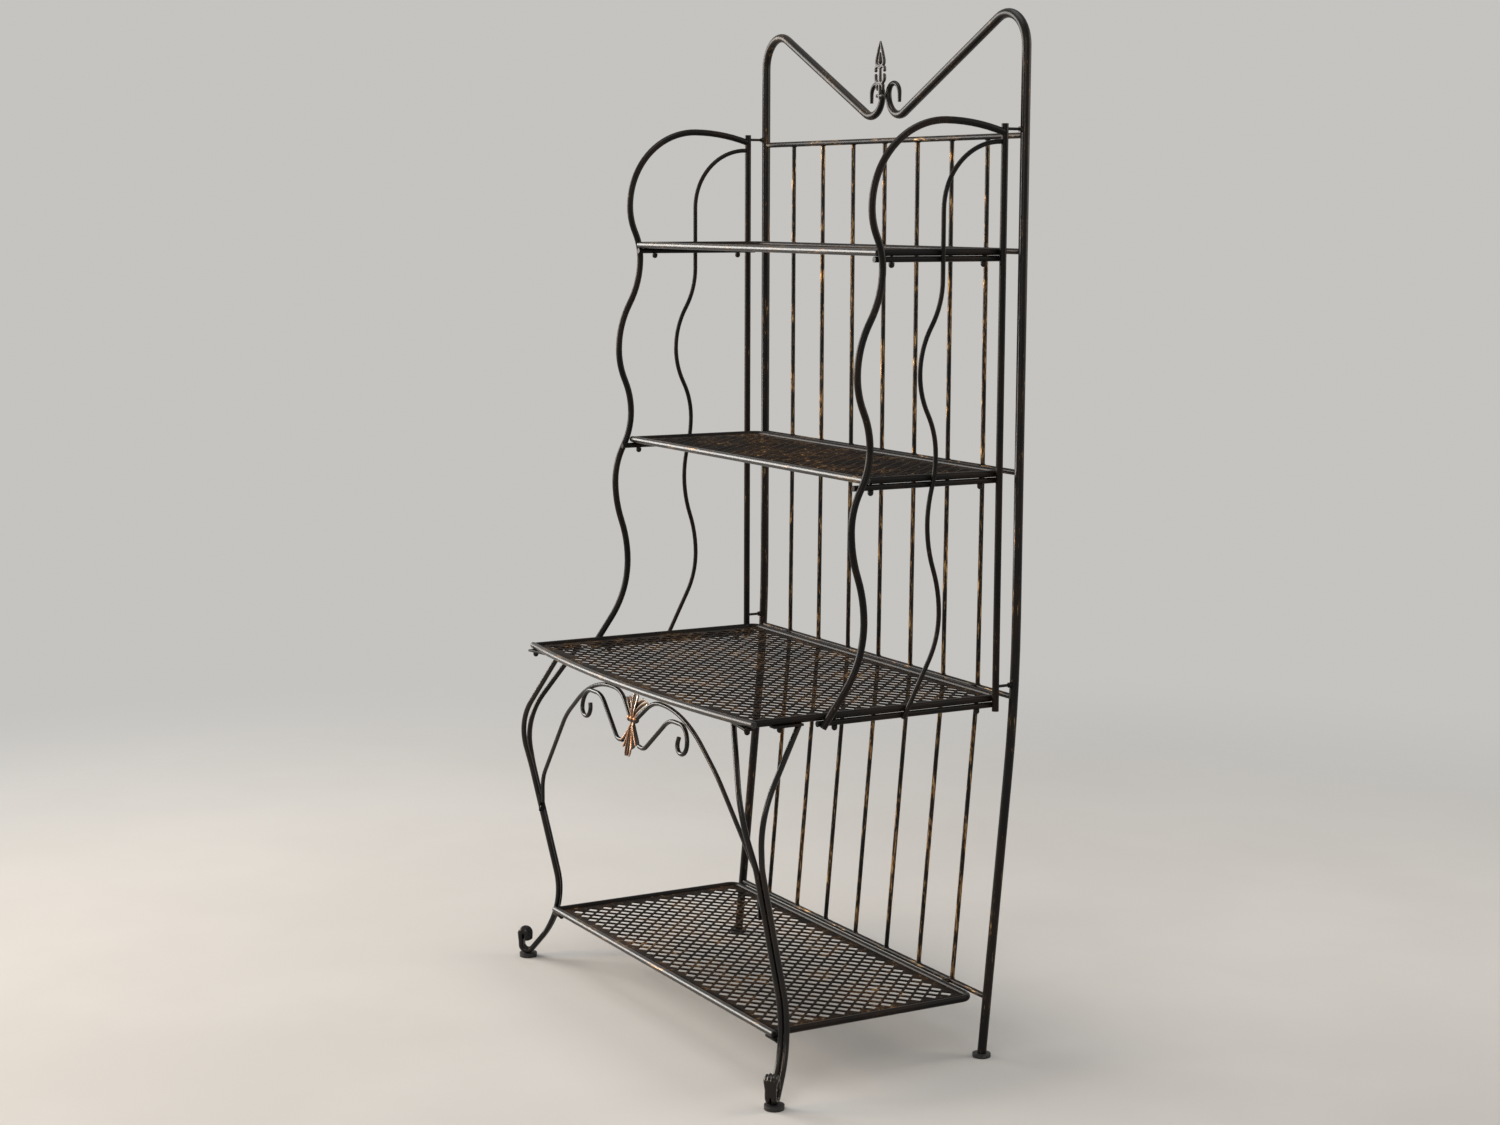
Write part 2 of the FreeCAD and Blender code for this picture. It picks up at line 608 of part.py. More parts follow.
leg_wires = {}
tabs = []
for side, sign in SIDES:
    for hand_name, hand in HANDS:
        route = leg_route(sign, hand)
        top = route[0]
        slope = (top - route[1]).normalize()
        route[0] = top + slope * S.leg_rod_diameter
        edges = bent_edges(route, LEG_BENDS)
        wire = Part.Wire(edges)
        leg_wires[side, hand_name] = wire
        label = "leg_%s_%s" % (hand_name, side)
        bar = trim(label, sweep(label + "_bar", edges, "Sizes.leg_rod_diameter"), top, rod_top)
        if hand_name == "front":
            face, depth = lug_place(wire)
            level = S.lug_level - S.lug_bolt_drop
            bar = drill(label, bar, [(Vector(sign * face, depth, level),
                                      Vector(crossing(wire, level).x, depth, level))])
        keep(bar, "leg_%s_rod_%s" % (hand_name, side))

        if hand_name == "front":
            bolt_x = top.x + sign * S.front_tab_bolt
            bolt = Vector(bolt_x, front_edge("work", bolt_x), top.z)
        else:
            bolt = top - Vector(0, S.side_tab_bolt, 0)
        along = (bolt - top).normalize()
        name = "leg_tab_%s_%s" % (hand_name, side)
        tab = doc.addObject("Part::Box", name)
        tab.setExpression("Length", "Sizes.%s_tab_length" % hand_name)
        tab.setExpression("Width", "Sizes.tab_width")
        tab.setExpression("Height", "Sizes.tab_thickness")
        turn = FreeCAD.Rotation(Vector(0, 0, 1), math.degrees(math.atan2(along.y, along.x)))
        corner = Vector(top.x, top.y, tab_top - S.tab_thickness) - along * leg_radius
        tab.Placement = FreeCAD.Placement(corner - turn.multVec(Vector(0, S.tab_width * HALF, 0)), turn)
        low = tab_top - S.tab_thickness - S.weld_gap - S.nut_height
        place = (Vector(bolt.x, bolt.y, low), Vector(bolt.x, bolt.y, S.work_height))
        stud_places.append(place)
        tabs.append(drill(name, tab, [place]))
keep(group("leg_tab_set", tabs), "leg_top_tabs")

# Tabs that carry the front corners of the bottom shelf
shelf_tab_top = S.base_height - shelf_radius - S.weld_gap
shelf_tabs = []
for side, sign in SIDES:
    wire = leg_wires[side, "front"]
    spots = [crossing(wire, shelf_tab_top), crossing(wire, shelf_tab_top - S.tab_thickness)]
    spot = min(spots, key=lambda point: abs(point.x))
    name = "leg_shelf_tab_" + side
    tab = doc.addObject("Part::Box", name)
    reach = abs(spot.x) - leg_radius - S.weld_gap - S.shelf_half + S.tab_width
    tab.Length = reach
    tab.setExpression("Width", "Sizes.tab_width")
    tab.setExpression("Height", "Sizes.tab_thickness")
    inner_edge = S.shelf_half - S.tab_width
    left_edge = inner_edge if sign > 0 else -inner_edge - reach
    tab.Placement.Base = Vector(left_edge, spot.y - S.tab_width * HALF, shelf_tab_top - S.tab_thickness)
    low = shelf_tab_top - S.tab_thickness - S.weld_gap - S.nut_height
    stud_y = max(spot.y, -S.base_front + shelf_radius + S.stud_diameter)
    place = (Vector(sign * S.shelf_half, stud_y, low), Vector(sign * S.shelf_half, stud_y, S.base_height))
    stud_places.append(place)
    shelf_tabs.append(drill(name, tab, [place]))
keep(group("leg_shelf_tab_set", shelf_tabs), "leg_shelf_tabs")

# Front floor pads under the foot scrolls
scroll_bottom = min(wire.BoundBox.ZMin for wire in leg_wires.values()) - leg_radius
for side, sign in SIDES:
    centre = leg_point(sign, S.leg_toe_out - S.leg_toe_radius, S.leg_foot_swing + S.pad_shift, 0)
    pad = doc.addObject("Part::Cylinder", "front_pad_" + side)
    pad.setExpression("Radius", "Sizes.front_foot_diameter / 2")
    pad.Height = scroll_bottom - S.weld_gap
    pad.Placement.Base = centre
    keep(pad, "front_foot_" + side)

# Shelves: front tube, bent rim tube and expanded mesh sheet
sleeve_reach = rail_radius + S.shelf_back_space + shelf_radius


def diamond_face(shelf, half, back, corner, inset):
    """Sheet outline with rounded rear corners and a staggered field of diamond openings."""
    front = front_edge(shelf, half, inset)
    route = [Vector(half, front, 0), Vector(half, back, 0), Vector(-half, back, 0), Vector(-half, front, 0)]
    lead = Part.LineSegment(route[-1], route[0])
    if shelf == "work":
        lead = Part.Arc(route[-1], Vector(0, front_edge(shelf, 0, inset), 0), route[0])
    wires = [Part.Wire(bent_edges(route, [corner, corner]) + [lead.toShape()])]
    half_pitch = S.mesh_pitch * HALF
    half_open = half_pitch - S.mesh_strand * diagonal
    columns = int((half - S.mesh_border) * 2 // half_pitch) - 1
    rows = int((back - front_edge(shelf, 0, inset) - 2 * S.mesh_border) // half_pitch)
    first_x = -(columns - 1) * half_pitch * HALF
    first_y = back - S.mesh_border - half_open
    for column in range(columns):
        x = first_x + column * half_pitch
        limit = front_edge(shelf, abs(x) + half_open, inset) + S.mesh_border + half_open
        for line in range(column % 2, rows, 2):
            middle = Vector(x, first_y - line * half_pitch, 0)
            if middle.y < limit:
                continue
            corners = [middle + Vector(half_open, 0, 0), middle + Vector(0, half_open, 0),
                       middle - Vector(half_open, 0, 0), middle - Vector(0, half_open, 0)]
            wires.append(Part.makePolygon(corners + corners[:1]))
    return Part.makeFace(Part.Compound(wires), "Part::FaceMakerBullseye")


def front_tube_edges(shelf, half, level):
    """Axis of a shelf front tube: straight, or bowed forward on the work surface."""
    ends = [Vector(side * half, front_edge(shelf, half), level) for side in (-1, 1)]
    if shelf == "work":
        return [Part.Arc(ends[0], Vector(0, front_edge(shelf, 0), level), ends[1]).toShape()]
    return [Part.LineSegment(*ends).toShape()]


sleeve_places = []
for shelf in SHELVES:
    level = levels[shelf]
    rail_y = back_y(level)
    back = rail_y - sleeve_reach
    inset = shelf_radius + S.weld_gap
    front_holes = []
    rim_holes = []
    for place in stud_places:
        if abs(place[1].z - level) > S.weld_gap:
            continue
        on_front = abs(place[1].y - front_edge(shelf, place[1].x)) < shelf_radius
        (front_holes if on_front else rim_holes).append(place)
    edges = front_tube_edges(shelf, S.shelf_half + shelf_radius, level)
    bar = hollow(shelf + "_front", edges, "shelf_tube_diameter", "shelf_tube_wall")
    if front_holes:
        bar = drill(shelf + "_front", bar, front_holes)
    keep(bar, shelf + "_shelf_front_tube")
    front = front_edge(shelf, S.shelf_half)
    corners = [Vector(-S.shelf_half, front, level), Vector(-S.shelf_half, back, level),
               Vector(S.shelf_half, back, level), Vector(S.shelf_half, front, level)]
    rim = hollow(shelf + "_rim", bent_edges(corners, [S.rim_bend_radius, S.rim_bend_radius]),
                 "shelf_tube_diameter", "shelf_tube_wall")
    seat = sweep(shelf + "_rim_seat", front_tube_edges(shelf, S.shelf_half + S.shelf_tube_diameter, level),
                 "Sizes.shelf_tube_diameter + 2 * Sizes.weld_gap")
    rim = cut(shelf + "_rim_coped", rim, seat)
    for sign in (-1, 1):
        x = sign * S.sleeve_half
        sleeve_places.append((Vector(x, back, level), Vector(x, rail_y, level)))
        rim_holes.append((Vector(x, back, level), Vector(x, rail_y - rail_radius, level)))
    keep(drill(shelf + "_rim", rim, rim_holes), shelf + "_shelf_rim")
    sheet_face = doc.addObject("Part::Feature", shelf + "_mesh_face")
    sheet_face.Shape = diamond_face(shelf, S.shelf_half - inset, back - inset, S.rim_bend_radius - inset,
                                    inset)
    sheet_face.Placement.Base = Vector(0, 0, level - S.mesh_thickness * HALF)
    mesh = doc.addObject("Part::Extrusion", shelf + "_mesh")
    mesh.Base = sheet_face
    mesh.DirMode = "Custom"
    mesh.Dir = Vector(0, 0, 1)
    mesh.setExpression("LengthFwd", "Sizes.mesh_thickness")
    mesh.Solid = True
    keep(mesh, shelf + "_shelf_mesh")

# Fasteners
studs = []
nuts = []
for index, (low, high) in enumerate(stud_places):
    studs.append(rod("stud_%d" % index, low, high, "Sizes.stud_diameter"))
    nut = doc.addObject("Part::Cylinder", "nut_ring_%d" % index)
    nut.setExpression("Radius", "Sizes.nut_diameter / 2")
    nut.setExpression("Height", "Sizes.nut_height")
    nut.Placement.Base = low
    dome = doc.addObject("Part::Sphere", "nut_dome_%d" % index)
    dome.setExpression("Radius", "Sizes.nut_diameter / 2")
    dome.Angle1 = -QUARTER_TURN
    dome.Angle2 = 0
    dome.Placement.Base = low
    cap = doc.addObject("Part::Fuse", "nut_cap_%d" % index)
    cap.Base = nut
    cap.Tool = dome
    bore_end = high - Vector(0, 0, shelf_radius)
    nuts.append(drill("nut_%d" % index, cap, [(low - Vector(0, 0, S.weld_gap), bore_end)]))
keep(group("stud_set", studs), "shelf_studs")
keep(group("nut_set", nuts), "cap_nuts")

standoffs = []
lock_nuts = []
for side, sign in SIDES:
    for index, level in enumerate(standoff_levels):
        x = sign * S.side_half
        axis_y = crossing(upright_wire, level).y
        name = "%s_%d" % (side, index)
        standoffs.append(rod("standoff_" + name, Vector(x, -S.post_setback, level),
                             Vector(x, axis_y, level), "Sizes.stud_diameter"))
        nut_y = axis_y - upright_radius - S.weld_gap
        ends = (Vector(x, nut_y, level), Vector(x, nut_y - S.nut_height, level))
        ring = rod("lock_ring_" + name, *ends, "Sizes.standoff_nut")
        lock_nuts.append(drill("lock_nut_" + name, ring, [ends]))
keep(group("standoff_set", standoffs), "standoff_bolts")
keep(group("lock_nut_set", lock_nuts), "standoff_nuts")

sleeves = []
screws = []
for index, (front, back) in enumerate(sleeve_places):
    ahead = Vector(0, shelf_radius + S.weld_gap, 0)
    behind = Vector(0, rail_radius + S.weld_gap, 0)
    tube = rod("sleeve_tube_%d" % index, front + ahead, back - behind, "Sizes.sleeve_diameter")
    sleeves.append(drill("sleeve_%d" % index, tube, [(front + ahead, back - behind)]))
    screws.append(rod("screw_%d" % index, front, back - behind, "Sizes.stud_diameter"))
keep(group("sleeve_set", sleeves), "shelf_sleeves")
keep(group("screw_set", screws), "shelf_screws")

# Apron: two arch rods, two scroll rods, leaf ornament and the lugs on the legs
apron_y = -S.apron_setback
apron_radius = S.apron_rod_diameter * HALF
ARCH_BENDS = [S.arch_rise_radius, S.arch_shoulder_radius, S.arch_flank_radius, S.arch_knee_radius]
SCROLL_BENDS = [S.scroll_dip_radius, S.scroll_rise_radius, S.scroll_far_radius, S.scroll_low_radius,
                S.scroll_near_radius]
lug_sets = []
lug_bolts = []


def arch_points(sign, start, end_x, end_y):
    """Corner points of an arch rod from the ornament, in the arch plane, down to its lug."""
    return [start,
            Vector(sign * S.arch_rise_half, apron_y, S.arch_rise_level),
            Vector(sign * S.arch_shoulder_half, apron_y, S.arch_shoulder_level),
            Vector(sign * S.arch_flank_half, apron_y, S.arch_flank_level),
            Vector(sign * end_x, end_y, S.arch_knee_level),
            Vector(sign * end_x, end_y, S.arch_end_level)]


def scroll_points(sign, place):
    """Corner points of a scroll rod from the outer lower leaf to its free end."""
    start_half = S.ornament_low_half + S.weld_gap
    return [place(sign * start_half, S.scroll_start_level),
            place(sign * S.scroll_dip_half, S.scroll_dip_level),
            place(sign * S.scroll_rise_half, S.scroll_crown_level),
            place(sign * S.scroll_far_half, S.scroll_crown_level),
            place(sign * S.scroll_far_half, S.scroll_low_level),
            place(sign * S.scroll_near_half, S.scroll_low_level),
            place(sign * S.scroll_end_half, S.scroll_end_level)]


def arch_plane_point(x, level):
    """Point in the upright plane of the arch."""
    return Vector(x, apron_y, level)


# The scroll touches the arch from below, a little in front of it
lug_x, lug_y = lug_place(leg_wires["right", "front"])
flat_start = arch_plane_point(S.ornament_bead_half, S.ornament_waist)
flat_arch = Part.Wire(bent_edges(arch_points(1, flat_start, lug_x, apron_y), ARCH_BENDS))
flat_scroll = Part.Wire(bent_edges(scroll_points(1, arch_plane_point), SCROLL_BENDS))
flat_reach, touches, _ = flat_scroll.distToShape(flat_arch)
touch_level = touches[0][0].z
scroll_step = math.sqrt(max((S.apron_rod_diameter + S.weld_gap) ** 2 - flat_reach ** 2, 0))


def leaning_point(x, level):
    """Point in the leaning plane of the scrolls and the ornament."""
    return Vector(x, apron_y - scroll_step - (touch_level - level) * S.apron_lean, level)


for side, sign in SIDES:
    wire = leg_wires[side, "front"]
    lug_x, lug_y = lug_place(wire)
    lug = doc.addObject("Part::Box", "lug_plate_" + side)
    lug.setExpression("Length", "Sizes.lug_thickness")
    lug.setExpression("Width", "Sizes.lug_width")
    lug.setExpression("Height", "Sizes.lug_height")
    lug.Placement.Base = Vector(lug_x if sign > 0 else -lug_x - S.lug_thickness,
                                lug_y - S.lug_width * HALF, S.lug_level - S.lug_height * HALF)
    bolt_level = S.lug_level - S.lug_bolt_drop
    bolt_in = Vector(sign * (lug_x - S.weld_gap), lug_y, bolt_level)
    bolt_out = Vector(crossing(wire, bolt_level).x, lug_y, bolt_level)
    lug_sets.append(drill("lug_" + side, lug, [(bolt_in, bolt_out)]))
    shank = rod("lug_shank_" + side, bolt_in, bolt_out, "Sizes.stud_diameter")
    head = doc.addObject("Part::Cylinder", "lug_head_" + side)
    head.setExpression("Radius", "Sizes.nut_diameter / 2")
    head.setExpression("Height", "Sizes.nut_height")
    head.Placement = FreeCAD.Placement(bolt_in, FreeCAD.Rotation(Vector(0, 0, 1), Vector(-sign, 0, 0)))
    bolt = doc.addObject("Part::Fuse", "lug_bolt_" + side)
    bolt.Base = shank
    bolt.Tool = head
    lug_bolts.append(bolt)

    bead = leaning_point(sign * S.ornament_bead_half, S.ornament_waist)
    rise = arch_plane_point(sign * S.arch_rise_half, S.arch_rise_level)
    start = bead + (rise - bead).normalize() * (S.ornament_bead_radius + S.weld_gap)
    arch = arch_points(sign, start, lug_x - S.weld_gap - apron_radius, lug_y)
    keep(sweep("apron_arch_bar_" + side, bent_edges(arch, ARCH_BENDS), "Sizes.apron_rod_diameter"),
         "apron_arch_" + side)
    scroll = scroll_points(sign, leaning_point)
    keep(sweep("apron_scroll_bar_" + side, bent_edges(scroll, SCROLL_BENDS), "Sizes.apron_rod_diameter"),
         "apron_scroll_" + side)
keep(group("lug_set", lug_sets), "apron_lugs")
keep(group("lug_bolt_set", lug_bolts), "apron_bolts")


ahead = Vector(0, -1, S.apron_lean).normalize()


def blade(name, root, tip, half_width):
    """Pointed flat leaf: two arcs from root to tip, half its thickness to each side of the leaning plane."""
    along = tip - root
    across = along.cross(ahead).normalize() * half_width
    middle = root + along * LEAF_BELLY_SHARE
    face = doc.addObject("Part::Feature", name + "_face")
    face.Shape = Part.Face(Part.Wire([Part.Arc(root, middle + across, tip).toShape(),
                                      Part.Arc(tip, middle - across, root).toShape()]))
    leaf = doc.addObject("Part::Extrusion", name)
    leaf.Base = face
    leaf.DirMode = "Custom"
    leaf.Dir = ahead
    leaf.setExpression("LengthFwd", "Sizes.leaf_thickness")
    leaf.Solid = True
    return leaf


back_step = ahead * (S.leaf_thickness * HALF)
waist = leaning_point(0, S.ornament_waist)
leaves = []
for index, share in enumerate(UPPER_SPREAD_SHARES):
    reach = 1 - (1 - UPPER_SIDE_SHARE) * abs(share)
    level = S.ornament_waist + (S.ornament_top - S.ornament_waist) * reach
    tip = leaning_point(share * S.ornament_top_half, level)
    leaves.append(blade("upper_leaf_%d" % index, waist - back_step, tip - back_step, S.leaf_half))
for index, share in enumerate(LOWER_SPREAD_SHARES):
    reach = 1 - (1 - LOWER_SIDE_SHARE) * abs(share)
    level = S.ornament_waist + (S.ornament_bottom - S.ornament_waist) * reach
    tip = leaning_point(share * S.ornament_low_half, level)
    leaves.append(blade("lower_leaf_%d" % index, waist - back_step, tip - back_step, S.leaf_half))
knot = doc.addObject("Part::Sphere", "ornament_knot")
knot.setExpression("Radius", "Sizes.ornament_waist_radius")
knot.Placement.Base = waist
beads = []
for side, sign in SIDES:
    ball = doc.addObject("Part::Sphere", "ornament_bead_" + side)
    ball.setExpression("Radius", "Sizes.ornament_bead_radius")
    ball.Placement.Base = leaning_point(sign * S.ornament_bead_half, S.ornament_waist)
    beads.append(ball)
ornament = doc.addObject("Part::MultiFuse", "ornament")
ornament.Shapes = leaves + [knot] + beads
keep(ornament, "apron_ornament")

# Finial: flat cast spear on a collar across the two inner crest runs
finial_face_y = -(upright_radius + S.weld_gap)
span = S.finial_top - S.finial_bottom


def finial_point(half, share):
    """Point on the finial outline, half width and share of the height."""
    return Vector(half, finial_face_y, S.finial_bottom + span * share)


HEAD_LOW_SHARE = 0.585
HEAD_WIDE_SHARE = 0.65
BARB_TIP_SHARE = 0.5
LOW_BARB_TIP_SHARE = 0.43
LOW_BARB_ROOT_SHARE = 0.28
SHOULDER_SHARE = 0.2
outline_right = [
    finial_point(S.finial_stem_half, 0), finial_point(S.finial_collar_half, SHOULDER_SHARE),
    finial_point(S.finial_stem_half, LOW_BARB_ROOT_SHARE),
    finial_point(S.finial_barb_half, LOW_BARB_TIP_SHARE),
    finial_point(S.finial_stem_half, LOW_BARB_TIP_SHARE),
    finial_point(S.finial_stem_half, BARB_TIP_SHARE), finial_point(S.finial_barb_half, BARB_TIP_SHARE),
    finial_point(S.finial_stem_half, HEAD_LOW_SHARE), finial_point(S.finial_head_half, HEAD_WIDE_SHARE),
    finial_point(0, 1)]
outline_left = [Vector(-point.x, point.y, point.z) for point in reversed(outline_right[:-1])]
ring = outline_right + outline_left
spear_face = doc.addObject("Part::Feature", "finial_face")
spear_face.Shape = Part.Face(Part.makePolygon(ring + ring[:1]))
spear = doc.addObject("Part::Extrusion", "finial_spear")
spear.Base = spear_face
spear.DirMode = "Custom"
spear.Dir = Vector(0, -1, 0)
spear.setExpression("LengthFwd", "Sizes.finial_depth")
spear.Solid = True
collar = doc.addObject("Part::Box", "finial_collar")
collar.setExpression("Length", "2 * Sizes.finial_collar_half")
collar.setExpression("Width", "Sizes.finial_depth")
collar.setExpression("Height", "Sizes.finial_collar_height")
collar.Placement.Base = Vector(-S.finial_collar_half, finial_face_y - S.finial_depth, S.finial_bottom)
finial = doc.addObject("Part::Fuse", "finial")
finial.Base = spear
finial.Tool = collar
keep(finial, "crest_finial")

doc.recompute()

# Centre the whole rack over the origin, front to back
reach = FreeCAD.BoundBox()
for part in parts:
    reach.add(part.Shape.optimalBoundingBox())
shift = -reach.Center.y

os.makedirs("parts", exist_ok=True)
for part in parts:
    bad = [flag for flag in part.State if flag in ("Invalid", "Error")]
    if bad or part.Shape.isNull() or not part.Shape.isValid():
        raise RuntimeError("sub-part %s did not build" % part.Label)
    part.Placement.Base = part.Placement.Base + Vector(0, shift, 0)
    part.Shape.exportStep("parts/%s.step" % part.Label)
    print("%-28s solids %2d volume %.0f" % (part.Label, len(part.Shape.Solids), part.Shape.Volume))
print("sub-parts", len(parts), "shift", shift, "box", reach)
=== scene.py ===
"""Looks of the bakers rack: rubbed black iron, expanded mesh shelves, cast leaf ornament and finial."""

import logging
import math
import random
from collections.abc import Callable, Sequence
from dataclasses import dataclass
from enum import Enum
from statistics import NormalDist

import bpy
from mathutils import Matrix, Vector


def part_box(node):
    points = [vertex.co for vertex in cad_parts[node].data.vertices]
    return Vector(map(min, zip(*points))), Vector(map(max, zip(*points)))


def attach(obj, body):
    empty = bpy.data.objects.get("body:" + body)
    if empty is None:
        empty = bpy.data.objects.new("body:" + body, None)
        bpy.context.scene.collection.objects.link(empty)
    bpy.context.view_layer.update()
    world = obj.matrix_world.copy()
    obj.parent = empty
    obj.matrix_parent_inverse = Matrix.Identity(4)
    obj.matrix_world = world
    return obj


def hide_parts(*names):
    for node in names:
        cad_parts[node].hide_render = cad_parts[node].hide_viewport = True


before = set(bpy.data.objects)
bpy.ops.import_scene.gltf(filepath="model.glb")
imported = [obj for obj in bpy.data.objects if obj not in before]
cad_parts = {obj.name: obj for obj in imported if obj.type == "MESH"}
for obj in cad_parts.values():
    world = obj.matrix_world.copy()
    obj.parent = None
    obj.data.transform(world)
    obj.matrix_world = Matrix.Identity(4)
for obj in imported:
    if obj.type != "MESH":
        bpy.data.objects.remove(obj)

LOG = logging.getLogger("bakers_rack")
ROOT_BODY = "root"
MM = 0.001
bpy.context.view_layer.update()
SMOOTH_ANGLE = math.radians(40)
WELD_REACH = 0.01 * MM
BAR_ROUNDNESS = 3
BAR_STEPS = 6
BAR_ORDER = 3
# Point attribute of the cast finish: height of the cast relief, plus painted highlight on lit tips and
# sides.
RELIEF_AND_HIGHLIGHT = "relief_and_highlight"

Colour = tuple[float, float, float]
Point = tuple[float, float, float]
Route = tuple[Point, ...]
Span = tuple[float, float]


class Side(Enum):
    """The two ends of the rack, with the sign of X at each."""

    LEFT = -1
    RIGHT = 1


class Shelf(Enum):
    """The four shelves, by the first word of their node names."""

    TOP = "top"
    MIDDLE = "middle"
    WORK = "work"
    BASE = "base"


class Grain(Enum):
    """Run of the rubbing marks, as the scale of the pattern along X, Y and Z."""

    EVEN = (1.0, 1.0, 1.0)
    ALONG_X = (0.09, 1.0, 1.0)
    ALONG_Y = (1.0, 0.09, 1.0)
    ALONG_Z = (1.0, 1.0, 0.09)


class Slot(Enum):
    """Material slots."""

    FRAME = "frame"
    SPINDLES = "spindles"
    FRONT_TUBES = "front_tubes"
    LEGS = "legs"
    MESH = "mesh"
    CASTINGS = "castings"
    FASTENERS = "fasteners"
    FEET = "feet"


# Shader expressions


@dataclass(frozen=True)
class Signal:
    """A shader output that can be used in Python sums."""

    shader: "Shader"
    socket: bpy.types.NodeSocket

    def _math(self, operation: str, first: "Value", second: "Value") -> "Signal":
        """Add one Math node and return its output."""
        return self.shader.node("ShaderNodeMath", {"operation": operation}, {0: first, 1: second})

    def __add__(self, other: "Value") -> "Signal":
        """Sum of two values."""
        return self._math("ADD", self, other)

    def __radd__(self, other: "Value") -> "Signal":
        """Sum of two values, the plain number first."""
        return self._math("ADD", other, self)

    def __sub__(self, other: "Value") -> "Signal":
        """Difference of two values."""
        return self._math("SUBTRACT", self, other)

    def __rsub__(self, other: "Value") -> "Signal":
        """Difference of two values, the plain number first."""
        return self._math("SUBTRACT", other, self)

    def __mul__(self, other: "Value") -> "Signal":
        """Product of two values."""
        return self._math("MULTIPLY", self, other)

    def __rmul__(self, other: "Value") -> "Signal":
        """Product of two values, the plain number first."""
        return self._math("MULTIPLY", other, self)


Value = Signal | float


class Shader:
    """Node tree of one material or world, built by small calls."""

    def __init__(self, tree: bpy.types.NodeTree) -> None:
        """Start from an empty tree.

        Args:
            tree: The node tree to fill.
        """
        self.tree = tree
        tree.nodes.clear()

    def node(self, kind: str, settings: dict | None = None, inputs: dict | None = None,
             output: int | str = 0) -> Signal:
        """Add a node, set it up and link it.

        Args:
            kind: Node type.
            settings: Properties of the node, set before its sockets.
            inputs: Values or signals by socket name or number.
            output: Name or number of the output to return.

        Returns:
            The chosen output as a signal.
        """
        made = self.tree.nodes.new(kind)
        for name, value in (settings or {}).items():
            setattr(made, name, value)
        for key, value in (inputs or {}).items():
            if isinstance(value, Signal):
                self.tree.links.new(value.socket, made.inputs[key])
            else:
                made.inputs[key].default_value = value
        return Signal(self, made.outputs[output])

    def place(self, scale: Point = Grain.EVEN.value) -> Signal:
        """Object coordinates, scaled along each axis."""
        coords = self.node("ShaderNodeTexCoord", output="Object")
        return self.node("ShaderNodeMapping", inputs={"Vector": coords, "Scale": scale})

    def noise(self, place: Signal, scale: float, detail: float = 3.0, rough: float = 0.55) -> Signal:
        """Cloudy value between 0 and 1 at a place."""
        return self.node("ShaderNodeTexNoise",
                         inputs={"Vector": place, "Scale": scale, "Detail": detail, "Roughness": rough})

    def step(self, value: Signal, low: float, high: float) -> Signal:
        """Smooth step from 0 at a low value to 1 at a high one."""
        return self.node("ShaderNodeMapRange", {"interpolation_type": "SMOOTHSTEP"},
                         {"Value": value, "From Min": low, "From Max": high})

    def blend(self, factor: Signal, first: "Colour | Signal", second: "Colour | Signal") -> Signal:
        """Mix of two colours by a factor."""
        ends = [end if isinstance(end, Signal) else (*end, 1.0) for end in (first, second)]
        return self.node("ShaderNodeMix", {"data_type": "RGBA"}, {0: factor, 6: ends[0], 7: ends[1]}, 2)

    def bump(self, height: Signal, strength: float, distance: float) -> Signal:
        """Surface normal bent by a height."""
        return self.node("ShaderNodeBump",
                         inputs={"Height": height, "Strength": strength, "Distance": distance})

    def surface(self, inputs: dict) -> None:
        """Finish the tree with a Principled surface."""
        closure = self.node("ShaderNodeBsdfPrincipled", inputs=inputs)
        self.node_output(closure)

    def node_output(self, closure: Signal, kind: str = "ShaderNodeOutputMaterial") -> None:
        """Link a closure to the output of the tree."""
        output = self.tree.nodes.new(kind)
        self.tree.links.new(closure.socket, output.inputs["Surface"])


def new_material(name: str) -> tuple[bpy.types.Material, Shader]:
    """Make an empty node material.

    Args:
        name: Material name.

    Returns:
        The material and its shader.
    """
    material = bpy.data.materials.new(name)
    material.use_nodes = True
    return material, Shader(material.node_tree)


# Finishes


